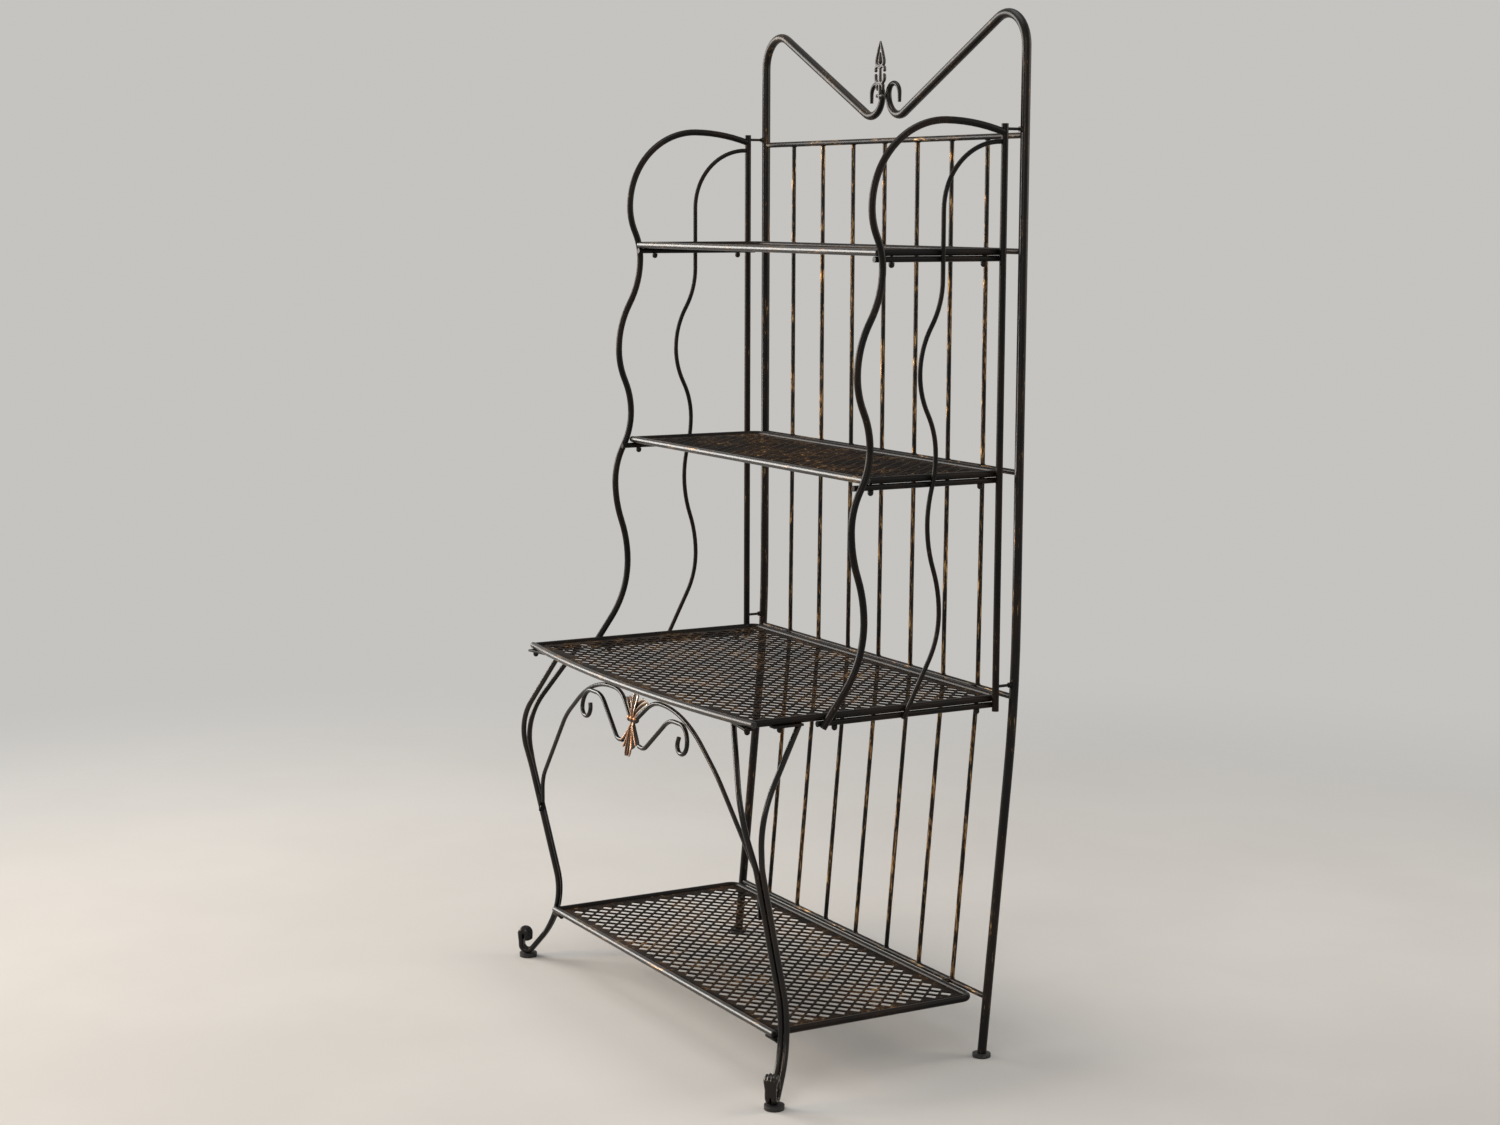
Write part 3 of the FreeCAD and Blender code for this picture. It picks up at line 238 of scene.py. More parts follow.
@dataclass(frozen=True)
class RubbedIron:
    """Black iron paint with bronze rubbing worked over it by hand; a larger share of rubbing on a part
    also serves as painted warm glints.
    """

    name: str
    grain: Grain = Grain.EVEN
    rub_and_glint_share: float = 0.12
    paint: Colour = (0.0065, 0.0058, 0.0054)
    brown: Colour = (0.014, 0.009, 0.0062)
    bronze: Colour = (0.27, 0.125, 0.042)
    gold: Colour = (0.55, 0.34, 0.14)
    roughness: float = 0.36
    roughness_spread: float = 0.16
    rub_roughness: float = 0.05
    fleck_scale: float = 230.0
    fleck_detail: float = 6.0
    fleck_break: float = 0.62
    fine_scale: float = 760.0
    patch_scale: float = 11.0
    grit_ratio: float = 2.0
    grit_detail: float = 2.0
    fleck_part: float = 0.55
    fine_part: float = 0.3
    patch_part: float = 0.25
    wear_mean: float = 0.55
    wear_spread: float = 0.074
    wear_edge: float = 0.12
    brown_span: Span = (0.42, 0.62)
    gold_span: Span = (0.4, 0.62)
    rub_metal: float = 0.8
    fine_relief: float = 0.5
    grit_relief: float = 0.6
    rub_relief: float = 0.5
    bump_strength: float = 0.3
    bump_distance: float = 0.3 * MM
    sheen_level: float = 0.15
    coat: float = 0.05
    coat_roughness: float = 0.14

    def material(self) -> bpy.types.Material:
        """Build the node material.

        Returns:
            The finished material.
        """
        material, shader = new_material(self.name)
        stretched = shader.place(self.grain.value)
        even = shader.place()
        flecks = shader.noise(stretched, self.fleck_scale, self.fleck_detail, self.fleck_break)
        fine = shader.noise(stretched, self.fine_scale)
        patches = shader.noise(even, self.patch_scale)
        grit = shader.noise(even, self.grit_ratio * self.fine_scale, self.grit_detail)
        wear_and_highlight = self.fleck_part * flecks + self.fine_part * fine + self.patch_part * patches
        edge = self.wear_mean + self.wear_spread * NormalDist().inv_cdf(1 - self.rub_and_glint_share)
        # Mask of the bronze: real rubbing, spread wider as painted glints where the share is raised.
        rubbed_and_glint = shader.step(wear_and_highlight, edge, edge + self.wear_edge)
        under = shader.blend(shader.step(patches, *self.brown_span), self.paint, self.brown)
        metal = shader.blend(shader.step(fine, *self.gold_span), self.bronze, self.gold)
        height = self.fine_relief * fine + self.grit_relief * grit + self.rub_relief * rubbed_and_glint
        smoothest = self.roughness - self.roughness_spread / 2
        shader.surface({
            "Base Color": shader.blend(rubbed_and_glint, under, metal),
            "Metallic": self.rub_metal * rubbed_and_glint,
            "Roughness": smoothest + self.roughness_spread * fine + self.rub_roughness * rubbed_and_glint,
            "Normal": shader.bump(height, self.bump_strength, self.bump_distance),
            "Specular IOR Level": self.sheen_level,
            "Coat Weight": self.coat,
            "Coat Roughness": self.coat_roughness,
        })
        return material


@dataclass(frozen=True)
class CastBronze:
    """Black casting with copper left on the ridges and pale polish where the piece's own attribute is
    highest; the attribute also carries painted highlight on lit tips and sides.
    """

    name: str
    recess: Colour = (0.010, 0.0065, 0.005)
    copper: Colour = (0.37, 0.165, 0.064)
    # Pale polish on the highest ridges; the same colour makes the painted highlights.
    polish_and_highlight: Colour = (0.80, 0.77, 0.71)
    roughness: float = 0.34
    grain_roughness: float = 0.2
    polish: float = 0.12
    grain_scale: float = 420.0
    grain_detail: float = 5.0
    grain_break: float = 0.6
    patch_scale: float = 60.0
    grain_part: float = 0.7
    patch_part: float = 0.5
    wear_drop: float = 0.6
    copper_span: Span = (0.34, 0.86)
    polish_and_highlight_span: Span = (0.92, 1.3)
    metal: float = 0.9
    grain_relief: float = 0.7
    copper_relief: float = 0.5
    bump_strength: float = 0.4
    bump_distance: float = 0.4 * MM
    coat: float = 0.15
    coat_roughness: float = 0.2

    def material(self) -> bpy.types.Material:
        """Build the node material.

        Returns:
            The finished material.
        """
        material, shader = new_material(self.name)
        place = shader.place()
        relief_and_highlight = shader.node("ShaderNodeAttribute", {"attribute_name": RELIEF_AND_HIGHLIGHT}, output="Fac")
        grain = shader.noise(place, self.grain_scale, self.grain_detail, self.grain_break)
        patches = shader.noise(place, self.patch_scale)
        # Attribute and noise together: wear on the ridges, and painted highlight where the attribute
        # marks a lit side.
        wear_and_highlight = relief_and_highlight + self.grain_part * grain + self.patch_part * patches - self.wear_drop
        copper = shader.step(wear_and_highlight, *self.copper_span)
        polish_and_highlight_mask = shader.step(wear_and_highlight, *self.polish_and_highlight_span)
        cast = shader.blend(copper, self.recess, self.copper)
        height = self.grain_relief * grain + self.copper_relief * copper
        shader.surface({
            "Base Color": shader.blend(polish_and_highlight_mask, cast, self.polish_and_highlight),
            "Metallic": self.metal * copper,
            "Roughness": self.roughness + self.grain_roughness * grain - self.polish * polish_and_highlight_mask,
            "Normal": shader.bump(height, self.bump_strength, self.bump_distance),
            "Coat Weight": self.coat,
            "Coat Roughness": self.coat_roughness,
        })
        return material


@dataclass(frozen=True)
class FloorPad:
    """Dull black moulded plastic of the floor pads, scuffed in places."""

    name: str
    dark: Colour = (0.011, 0.011, 0.012)
    scuffed: Colour = (0.055, 0.050, 0.046)
    roughness: float = 0.55
    grain_roughness: float = 0.15
    scuff_roughness: float = 0.1
    grain_scale: float = 900.0
    grain_detail: float = 2.0
    scuff_scale: float = 130.0
    scuff_detail: float = 5.0
    scuff_break: float = 0.65
    scuff_span: Span = (0.55, 0.7)
    bump_strength: float = 0.3
    bump_distance: float = 0.2 * MM

    def material(self) -> bpy.types.Material:
        """Build the node material.

        Returns:
            The finished material.
        """
        material, shader = new_material(self.name)
        place = shader.place()
        grain = shader.noise(place, self.grain_scale, self.grain_detail)
        clouds = shader.noise(place, self.scuff_scale, self.scuff_detail, self.scuff_break)
        scuffs = shader.step(clouds, *self.scuff_span)
        shader.surface({
            "Base Color": shader.blend(scuffs, self.dark, self.scuffed),
            "Roughness": self.roughness + self.grain_roughness * grain + self.scuff_roughness * scuffs,
            "Normal": shader.bump(grain, self.bump_strength, self.bump_distance),
        })
        return material


@dataclass(frozen=True)
class PaleFloor:
    """Plain pale studio floor that fades into the background."""

    name: str
    colour: Colour = (0.60, 0.585, 0.56)
    second: Colour = (0.63, 0.615, 0.59)
    roughness: float = 0.9
    sheen_level: float = 0.1
    cloud_scale: float = 1.3
    cloud_detail: float = 4.0
    cloud_span: Span = (0.35, 0.65)
    fade_span: Span = (1.1, 3.6)

    def material(self) -> bpy.types.Material:
        """Build the node material.

        Returns:
            The finished material.
        """
        material, shader = new_material(self.name)
        place = shader.place()
        clouds = shader.step(shader.noise(place, self.cloud_scale, self.cloud_detail), *self.cloud_span)
        solid = shader.node("ShaderNodeBsdfPrincipled", inputs={
            "Base Color": shader.blend(clouds, self.colour, self.second),
            "Roughness": self.roughness,
            "Specular IOR Level": self.sheen_level,
        })
        clear = shader.node("ShaderNodeBsdfTransparent")
        reach = shader.node("ShaderNodeVectorMath", {"operation": "LENGTH"}, {0: place}, "Value")
        fade = shader.step(reach, *self.fade_span)
        shader.node_output(shader.node("ShaderNodeMixShader", inputs={0: fade, 1: solid, 2: clear}))
        return material


# Modelling helpers


def signed_power(value: float, power: float) -> float:
    """Power of a value's size, with the value's sign kept."""
    return math.copysign(abs(value) ** power, value)


def deselect() -> None:
    """Go to object mode with nothing selected."""
    if bpy.context.object and bpy.context.object.mode != "OBJECT":
        bpy.ops.object.mode_set(mode="OBJECT")
    bpy.ops.object.select_all(action="DESELECT")


def activate(piece: bpy.types.Object) -> None:
    """Make one piece the only selected one.

    Args:
        piece: Object to select and make active.
    """
    deselect()
    piece.select_set(True)
    bpy.context.view_layer.objects.active = piece


def select_points(piece: bpy.types.Object, test: Callable[[Vector], bool]) -> None:
    """Leave a piece in edit mode with the points selected whose place passes a test.

    Args:
        piece: Active mesh object.
        test: Test of a point's place in the mesh.
    """
    bpy.ops.object.mode_set(mode="EDIT")
    bpy.ops.mesh.select_mode(type="VERT")
    bpy.ops.mesh.select_all(action="DESELECT")
    bpy.ops.object.mode_set(mode="OBJECT")
    for point in piece.data.vertices:
        point.select = test(point.co)
    bpy.ops.object.mode_set(mode="EDIT")


def use_modifier(piece: bpy.types.Object, kind: str, **settings: object) -> None:
    """Add a modifier to the active piece, set it up and apply it.

    Args:
        piece: Active mesh object.
        kind: Modifier type.
        settings: Properties of the modifier.
    """
    modifier = piece.modifiers.new(kind.lower(), kind)
    for name, value in settings.items():
        setattr(modifier, name, value)
    bpy.ops.object.modifier_apply(modifier=modifier.name)


def settle(piece: bpy.types.Object) -> None:
    """Put a piece's place, turn and scale into its mesh."""
    activate(piece)
    bpy.ops.object.transform_apply(location=True, rotation=True, scale=True)


def join(pieces: Sequence[bpy.types.Object], name: str) -> bpy.types.Object:
    """Join several pieces into one.

    Args:
        pieces: Mesh objects, the first of which stays.
        name: Name of the joined piece.

    Returns:
        The joined piece.
    """
    activate(pieces[0])
    for piece in pieces[1:]:
        piece.select_set(True)
    bpy.ops.object.join()
    pieces[0].name = name
    pieces[0].data.name = name
    return pieces[0]


def swept(name: str, points: Sequence[Vector], radii: Sequence[float]) -> bpy.types.Object:
    """Round bar along a smooth line, with its own radius at each point.

    Args:
        name: Name of the piece.
        points: Control points in metres.
        radii: Radius at each point in metres.

    Returns:
        The bar as a mesh object.
    """
    line = bpy.data.curves.new(name, "CURVE")
    line.dimensions = "3D"
    line.bevel_depth = 1.0
    line.bevel_resolution = BAR_ROUNDNESS
    line.resolution_u = BAR_STEPS
    line.use_fill_caps = True
    spline = line.splines.new("NURBS")
    spline.points.add(len(points) - 1)
    for place, point, radius in zip(spline.points, points, radii):
        place.co = (*point, 1.0)
        place.radius = radius
    spline.order_u = BAR_ORDER
    spline.use_endpoint_u = True
    piece = bpy.data.objects.new(name, line)
    bpy.context.scene.collection.objects.link(piece)
    activate(piece)
    bpy.ops.object.convert(target="MESH")
    return bpy.context.object


def welded_copy(node: str, name: str) -> bpy.types.Object:
    """Copy of a CAD node with its loose triangles welded.

    Args:
        node: CAD node name.
        name: Name of the copy.

    Returns:
        The copy as the active mesh object.
    """
    piece = bpy.data.objects.new(name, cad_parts[node].data.copy())
    bpy.context.scene.collection.objects.link(piece)
    activate(piece)
    bpy.ops.object.mode_set(mode="EDIT")
    bpy.ops.mesh.select_all(action="SELECT")
    bpy.ops.mesh.remove_doubles(threshold=WELD_REACH)
    bpy.ops.object.mode_set(mode="OBJECT")
    return piece


def eased_copy(node: str, name: str, width: float, segments: int) -> bpy.types.Object:
    """Copy of a CAD node with its sharp edges rounded.

    Args:
        node: CAD node name.
        name: Name of the copy.
        width: Width of the rounding.
        segments: Steps in the rounding.

    Returns:
        The copy as a mesh object.
    """
    piece = welded_copy(node, name)
    use_modifier(piece, "BEVEL", width=width, segments=segments, limit_method="ANGLE",
                 angle_limit=SMOOTH_ANGLE)
    return piece


def skinned(name: str, rings: Sequence[Sequence[Vector]], mirrored: bool) -> bpy.types.Object:
    """Closed skin through a row of cross-sections.

    Args:
        name: Name of the piece.
        rings: Cross-sections with the same number of points each.
        mirrored: Whether the sections run the other way round.

    Returns:
        The skin as the active mesh object.
    """
    count = len(rings[0])
    faces = [tuple(range(count)), tuple(reversed(range(count * (len(rings) - 1), count * len(rings))))]
    for row in range(len(rings) - 1):
        for index in range(count):
            after = (index + 1) % count
            faces.append((row * count + after, row * count + index, (row + 1) * count + index,
                          (row + 1) * count + after))
    if mirrored:
        faces = [tuple(reversed(face)) for face in faces]
    mesh = bpy.data.meshes.new(name)
    mesh.from_pydata([point for ring in rings for point in ring], [], faces)
    piece = bpy.data.objects.new(name, mesh)
    bpy.context.scene.collection.objects.link(piece)
    activate(piece)
    bpy.ops.object.mode_set(mode="EDIT")
    bpy.ops.mesh.select_all(action="SELECT")
    bpy.ops.mesh.normals_make_consistent(inside=False)
    bpy.ops.object.mode_set(mode="OBJECT")
    return piece


def set_relief_and_highlight(piece: bpy.types.Object, value: Callable[[Vector], float]) -> None:
    """Store a value at each point of a piece, from 0 where the casting stays black to 1 where copper
    shows: how far it stands proud, or a painted highlight on its lit side.

    Args:
        piece: Mesh object.
        value: Value at a place in the mesh.
    """
    mesh = piece.data
    relief_and_highlight = mesh.attributes.get(RELIEF_AND_HIGHLIGHT) or mesh.attributes.new(RELIEF_AND_HIGHLIGHT, "FLOAT", "POINT")
    for point, entry in zip(mesh.vertices, relief_and_highlight.data):
        entry.value = value(point.co)


def finish_piece(piece: bpy.types.Object, material: bpy.types.Material,
                 replaced: Sequence[str] = ()) -> None:
    """Dress a new piece and tie it to the rack.

    Args:
        piece: Finished mesh object.
        material: Its material.
        replaced: CAD nodes that it stands for.
    """
    piece.data.materials.clear()
    piece.data.materials.append(material)
    activate(piece)
    bpy.ops.object.shade_smooth_by_angle(angle=SMOOTH_ANGLE)
    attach(piece, ROOT_BODY)
    if replaced:
        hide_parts(*replaced)
    LOG.info("piece %s: %d faces", piece.name, len(piece.data.polygons))


# Sub-assemblies


@dataclass
class Viewpoint:
    """Camera at the photograph's viewing angle."""

    place: Point = (3.9413, -2.2217, 1.4690)
    azimuth_deg: float = 60.67
    pitch_deg: float = 8.03
    roll_deg: float = 0.174
    focal_px: float = 2524.9
    image_width_px: float = 1500.0
    sensor_mm: float = 36.0

    def build(self) -> None:
        """Make the camera and give it to the scene."""
        azimuth = math.radians(self.azimuth_deg)
        pitch = math.radians(self.pitch_deg)
        roll = math.radians(self.roll_deg)
        ahead = Vector((-math.sin(azimuth) * math.cos(pitch), math.cos(azimuth) * math.cos(pitch),
                        -math.sin(pitch)))
        level = Vector((math.cos(azimuth), math.sin(azimuth), 0.0))
        upright = level.cross(ahead)
        right = math.cos(roll) * level + math.sin(roll) * upright
        up = math.cos(roll) * upright - math.sin(roll) * level
        data = bpy.data.cameras.new("camera")
        data.sensor_width = self.sensor_mm
        data.sensor_fit = "HORIZONTAL"
        data.lens = self.focal_px / self.image_width_px * self.sensor_mm
        camera = bpy.data.objects.new("camera", data)
        turn = Matrix((right, up, -ahead)).transposed().to_4x4()
        camera.matrix_world = Matrix.Translation(self.place) @ turn
        bpy.context.scene.collection.objects.link(camera)
        bpy.context.scene.camera = camera


@dataclass(frozen=True)
class Softbox:
    """One large soft lamp."""

    name: str
    place: Point
    aim: Point
    size: tuple[float, float]
    power: float
    colour: Colour

    def build(self) -> None:
        """Make the lamp."""
        data = bpy.data.lights.new(self.name, "AREA")
        data.shape = "RECTANGLE"
        data.size, data.size_y = self.size
        data.energy = self.power
        data.color = self.colour
        lamp = bpy.data.objects.new(self.name, data)
        lamp.location = self.place
        lamp.visible_camera = False
        ahead = Vector(self.aim) - Vector(self.place)
        lamp.rotation_euler = ahead.to_track_quat("-Z", "Y").to_euler()
        bpy.context.scene.collection.objects.link(lamp)


@dataclass
class Studio:
    """Pale floor, soft lamps and even surroundings."""

    floor_radius: float = 9.0
    floor_facets: int = 96
    floor_drop: float = 0.3 * MM
    surroundings: Colour = (0.56, 0.55, 0.53)
    ambient: Colour = (0.80, 0.84, 0.90)
    ambient_level: float = 0.36
    lamps: tuple[Softbox, ...] = (
        Softbox("left_lamp", place=(-5.5, -3.5, 2.4), aim=(0.0, 0.0, 0.9), size=(3.4, 3.2),
                power=430.0, colour=(1.0, 0.96, 0.91)),
        Softbox("warm_lamp", place=(-1.5, -3.4, 1.5), aim=(0.0, 0.1, 0.9), size=(0.9, 0.9),
                power=52.0, colour=(1.0, 0.76, 0.50)),
        Softbox("front_lamp", place=(2.9, -3.0, 2.5), aim=(0.0, 0.0, 0.8), size=(2.0, 1.6),
                power=30.0, colour=(1.0, 0.98, 0.95)),
        Softbox("back_lamp", place=(1.4, 2.6, 2.1), aim=(0.0, 0.0, 1.0), size=(1.6, 1.6),
                power=34.0, colour=(1.0, 0.90, 0.78)),
        Softbox("top_lamp", place=(0.0, -0.3, 3.6), aim=(0.0, 0.0, 0.0), size=(1.8, 1.8),
                power=30.0, colour=(1.0, 1.0, 1.0)),
    )

    def build(self) -> None:
        """Make the floor, the lamps and the surroundings."""
        deselect()
        bpy.ops.mesh.primitive_circle_add(vertices=self.floor_facets, radius=self.floor_radius,
                                          fill_type="NGON", location=(0.0, 0.0, -self.floor_drop))
        floor = bpy.context.object
        floor.name = "floor"
        settle(floor)
        floor.data.materials.append(PaleFloor("pale_floor").material())
        for lamp in self.lamps:
            lamp.build()
        self.surround()
        bpy.context.scene.view_settings.view_transform = "Standard"

    def surround(self) -> None:
        """Make the world: one shade as seen and mirrored, another as the light that fills the shadows."""
        world = bpy.data.worlds.new("studio")
        bpy.context.scene.world = world
        world.use_nodes = True
        shader = Shader(world.node_tree)
        shown = [shader.node("ShaderNodeLightPath", output=ray)
                 for ray in ("Is Camera Ray", "Is Glossy Ray", "Is Transmission Ray")]
        light = shader.node("ShaderNodeBackground",
                            inputs={"Color": (*self.ambient, 1.0), "Strength": self.ambient_level})
        seen = shader.node("ShaderNodeBackground",
                           inputs={"Color": (*self.surroundings, 1.0), "Strength": 1.0})
        mixed = shader.node("ShaderNodeMixShader",
                            inputs={0: shown[0] + shown[1] + shown[2], 1: light, 2: seen})
        shader.node_output(mixed, "ShaderNodeOutputWorld")


class FrameDress:
    """Finishes of the iron pieces and pads, and the dressing of those that keep their CAD shape."""

    def __init__(self) -> None:
        """Make the finishes, each with its own run of marks."""
        # The bronze rubbing is real, and its share per part also follows the light: heavier on the
        # spindles, rails and mesh as painted warm glints, and least on the side panels, which stay black
        # as painted shade.
        self.upright = RubbedIron("iron_uprights", Grain.ALONG_Z, rub_and_glint_share=0.16).material()
        self.rails = RubbedIron("iron_rails", Grain.ALONG_X, rub_and_glint_share=0.30, sheen_level=0.1,
                                coat=0.0).material()
        self.spindles = RubbedIron("iron_spindles", Grain.ALONG_Z, rub_and_glint_share=0.48).material()
        self.side = RubbedIron("iron_side_panels", Grain.ALONG_Z, rub_and_glint_share=0.06, sheen_level=0.12,
                               coat=0.0).material()
        self.bearer = RubbedIron("iron_bearers", Grain.ALONG_Y, rub_and_glint_share=0.06, sheen_level=0.12,
                                 coat=0.0).material()
        self.front = RubbedIron("iron_front_tubes", Grain.ALONG_X, rub_and_glint_share=0.25,
                                sheen_level=0.5).material()
        self.legs = RubbedIron("iron_legs", Grain.ALONG_Z, rub_and_glint_share=0.05, roughness=0.25,
                               sheen_level=0.2, coat=0.16).material()
        self.apron = RubbedIron("iron_apron", rub_and_glint_share=0.08, roughness=0.25, sheen_level=0.2,
                                coat=0.16).material()
        self.mesh = RubbedIron("iron_mesh", rub_and_glint_share=0.24, paint=(0.010, 0.0075, 0.006),
                               brown=(0.026, 0.014, 0.008), roughness=0.52, fleck_scale=110.0,
                               sheen_level=0.04, coat=0.0).material()
        self.fixings = RubbedIron("iron_fixings", rub_and_glint_share=0.04, roughness=0.42).material()
        self.pads = FloorPad("floor_pads").material()

    def finish_of(self, node: str) -> bpy.types.Material:
        """Finish of a node, by its name.

        Args:
            node: CAD node name.

        Returns:
            The material of that node.
        """
        rules = (
            (("back_frame",), self.upright),
            (("back_rail", "shelf_sleeves"), self.rails),
            (("spindles",), self.spindles),
            (("side_",), self.side),
            (("bearer",), self.bearer),
            (tuple(f"{shelf.value}_shelf_front" for shelf in Shelf), self.front),
            (tuple(f"{shelf.value}_shelf" for shelf in Shelf), self.bearer),
            (("apron_arch", "apron_scroll"), self.apron),
            (("leg_front_rod", "leg_side_rod"), self.legs),
            (("rear_foot", "front_foot"), self.pads),
        )
        for starts, material in rules:
            if node.startswith(starts):
                return material
        return self.fixings

    def apply(self) -> None:
        """Dress every CAD node."""
        for name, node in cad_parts.items():
            material = self.finish_of(name)
            if not node.material_slots:
                node.data.materials.append(material)
            for slot in node.material_slots:
                slot.material = material
            LOG.info("node %s: %s", name, material.name)


@dataclass
class MeshShelf:
    """Expanded mesh of one shelf: the sheet with its strands twisted and its edges eased."""

    shelf: Shelf
    twist: float = 0.8 * MM
    edge_ease: float = 0.45 * MM
    least_step: float = 3.0 * MM
    flat_normal: float = 0.5
    place_digits: int = 6

    def build(self, material: bpy.types.Material) -> None:
        """Model the mesh from a copy of the sheet and dress it.

        The rear corners of the openings go down and the front corners up, so that the strands lean.

        Args:
            material: Finish of the mesh.
        """
        node = f"{self.shelf.value}_shelf_mesh"
        piece = welded_copy(node, f"{self.shelf.value}_expanded_mesh")
        for rise, corners in zip((-1, 1), self.diamond_corners(piece.data)):
            select_points(piece, lambda co, corners=corners: co.to_tuple(self.place_digits) in corners)
            bpy.ops.transform.translate(value=(0.0, 0.0, rise * self.twist))
        bpy.ops.object.mode_set(mode="OBJECT")
        use_modifier(piece, "BEVEL", width=self.edge_ease, segments=1, limit_method="ANGLE",
                     angle_limit=SMOOTH_ANGLE)
        finish_piece(piece, material, [node])

    def diamond_corners(self, mesh: bpy.types.Mesh) -> tuple[set, set]:
        """Places of the rear and front corners of the diamond openings.

        Args:
            mesh: Welded sheet.

        Returns:
            Places of the rear corners and of the front corners.
        """
        faces_of: dict[tuple[int, int], list[bool]] = {}
        for face in mesh.polygons:
            for key in face.edge_keys:
                faces_of.setdefault(key, []).append(abs(face.normal.z) > self.flat_normal)
        linked: dict[int, list[int]] = {}
        for (first, second), flat in faces_of.items():
            if len(flat) == 2 and flat[0] != flat[1]:
                linked.setdefault(first, []).append(second)
                linked.setdefault(second, []).append(first)
        rear, front = set(), set()
        for index, others in linked.items():
            here = mesh.vertices[index].co
            steps = [mesh.vertices[other].co.y - here.y for other in others]
            if len(steps) == 2 and max(steps) < -self.least_step:
                rear.add(here.to_tuple(self.place_digits))
            if len(steps) == 2 and min(steps) > self.least_step:
                front.add(here.to_tuple(self.place_digits))
        return rear, front


@dataclass
class Leaf:
    """One cast leaf: a ribbed strip that widens to a blunt scalloped tip, with a painted highlight on the
    tip.
    """

    length: float
    half_width: float
    angle_deg: float
    bend: float = 0.0
    curl: float = 0.0
    forward: float = 0.0
    # Painted highlight on the tip, lifting it towards pale polish as if it caught the lamp.
    painted_tip_highlight: float = 0.0
    ripples: float = 1.0
    root_share: float = 0.34
    widest_share: float = 0.86
    blunt_share: float = 0.35
    rib: float = 3.0 * MM
    valley: float = -2.4 * MM
    scallop: float = 3.2 * MM
    thickness: float = 3.0 * MM
    curl_power: float = 2.5
    notch_power: int = 8
    root_relief: float = 0.4
    relief_gain: float = 2.0
    ridge_gain: float = 1.55
    ridge_power: float = 2.2
    ridge_drop: float = 0.5
    painted_tip_highlight_power: int = 3
    grid_start: float = 1.0
    row_reach: float = 0.4
    columns: int = 8
    rows: int = 16

    def width_at(self, share: float) -> float:
        """Half width of the leaf at a share of its length.

        Args:
            share: Share of the length, from the root.

        Returns:
            Half width in metres.
        """
        flare = min(1.0, share / self.widest_share)
        swell = self.root_share + (1 - self.root_share) * flare ** 2 * (3 - 2 * flare)
        past = max(0.0, (share - self.widest_share) / (1 - self.widest_share))
        return self.half_width * swell * (1 - self.blunt_share * past ** 2)

    def build(self, root: Vector, lean: float) -> bpy.types.Object:
        """Model the leaf in its own plane and set it at its root.

        The strip starts as a grid of unit length well away from the root, so that the rows already
        set in place are not picked again.

        Args:
            root: Root of the leaf in metres.
            lean: Backward lean of the leaf plane per height.

        Returns:
            The leaf as a mesh object.
        """
        deselect()
        bpy.ops.mesh.primitive_grid_add(x_subdivisions=self.columns, y_subdivisions=self.rows, size=1.0,
                                        location=(0.0, self.grid_start + 0.5, 0.0))
        leaf = bpy.context.object
        settle(leaf)
        for row in range(self.rows + 1):
            share = row / self.rows
            level = self.grid_start + share
            select_points(leaf, lambda co, level=level: abs(co.y - level) < self.row_reach / self.rows)
            bpy.ops.transform.resize(value=(2 * self.width_at(share), 1.0, 1.0),
                                     center_override=(0.0, 0.0, 0.0))
            bpy.ops.transform.translate(value=(self.bend * share ** 2, self.length * share - level,
                                               self.curl * share ** self.curl_power))
        bpy.ops.object.mode_set(mode="OBJECT")
        self.fold(leaf)
        use_modifier(leaf, "SOLIDIFY", thickness=self.thickness, offset=-1.0)
        use_modifier(leaf, "SUBSURF", levels=1, render_levels=1)
        turn = math.radians(self.angle_deg)
        along = Vector((math.sin(turn), lean * math.cos(turn), math.cos(turn))).normalized()
        ahead = Vector((0.0, -1.0, lean)).normalized()
        across = along.cross(ahead).normalized()
        leaf.matrix_world = (Matrix.Translation(root + ahead * self.forward)
                             @ Matrix((across, along, ahead)).transposed().to_4x4())
        settle(leaf)
        return leaf

    def fold(self, leaf: bpy.types.Object) -> None:
        """Raise the ribs, sink the valleys between them, notch the tip and mark the ridges, adding a
        painted highlight towards the tip.

        Args:
            leaf: Strip whose points still lie in columns.
        """
        mesh = leaf.data
        relief_and_highlight = mesh.attributes.new(RELIEF_AND_HIGHLIGHT, "FLOAT", "POINT")
        per_row = self.columns + 1
        for index, point in enumerate(mesh.vertices):
            share = (index // per_row) / self.rows
            off = abs(2 * (index % per_row) / self.columns - 1)
            wave = 0.5 + 0.5 * math.cos(math.tau * self.ripples * off)
            relief = min(1.0, self.root_relief + self.relief_gain * share)
            point.co.z += relief * (self.valley + (self.rib - self.valley) * wave)
            point.co.y += self.scallop * (wave - 1) * share ** self.notch_power
            # Painted highlight, growing towards the tip.
            painted_tip_highlight = self.painted_tip_highlight * share ** self.painted_tip_highlight_power
            relief_and_highlight.data[index].value = self.ridge_gain * wave ** self.ridge_power - self.ridge_drop + painted_tip_highlight


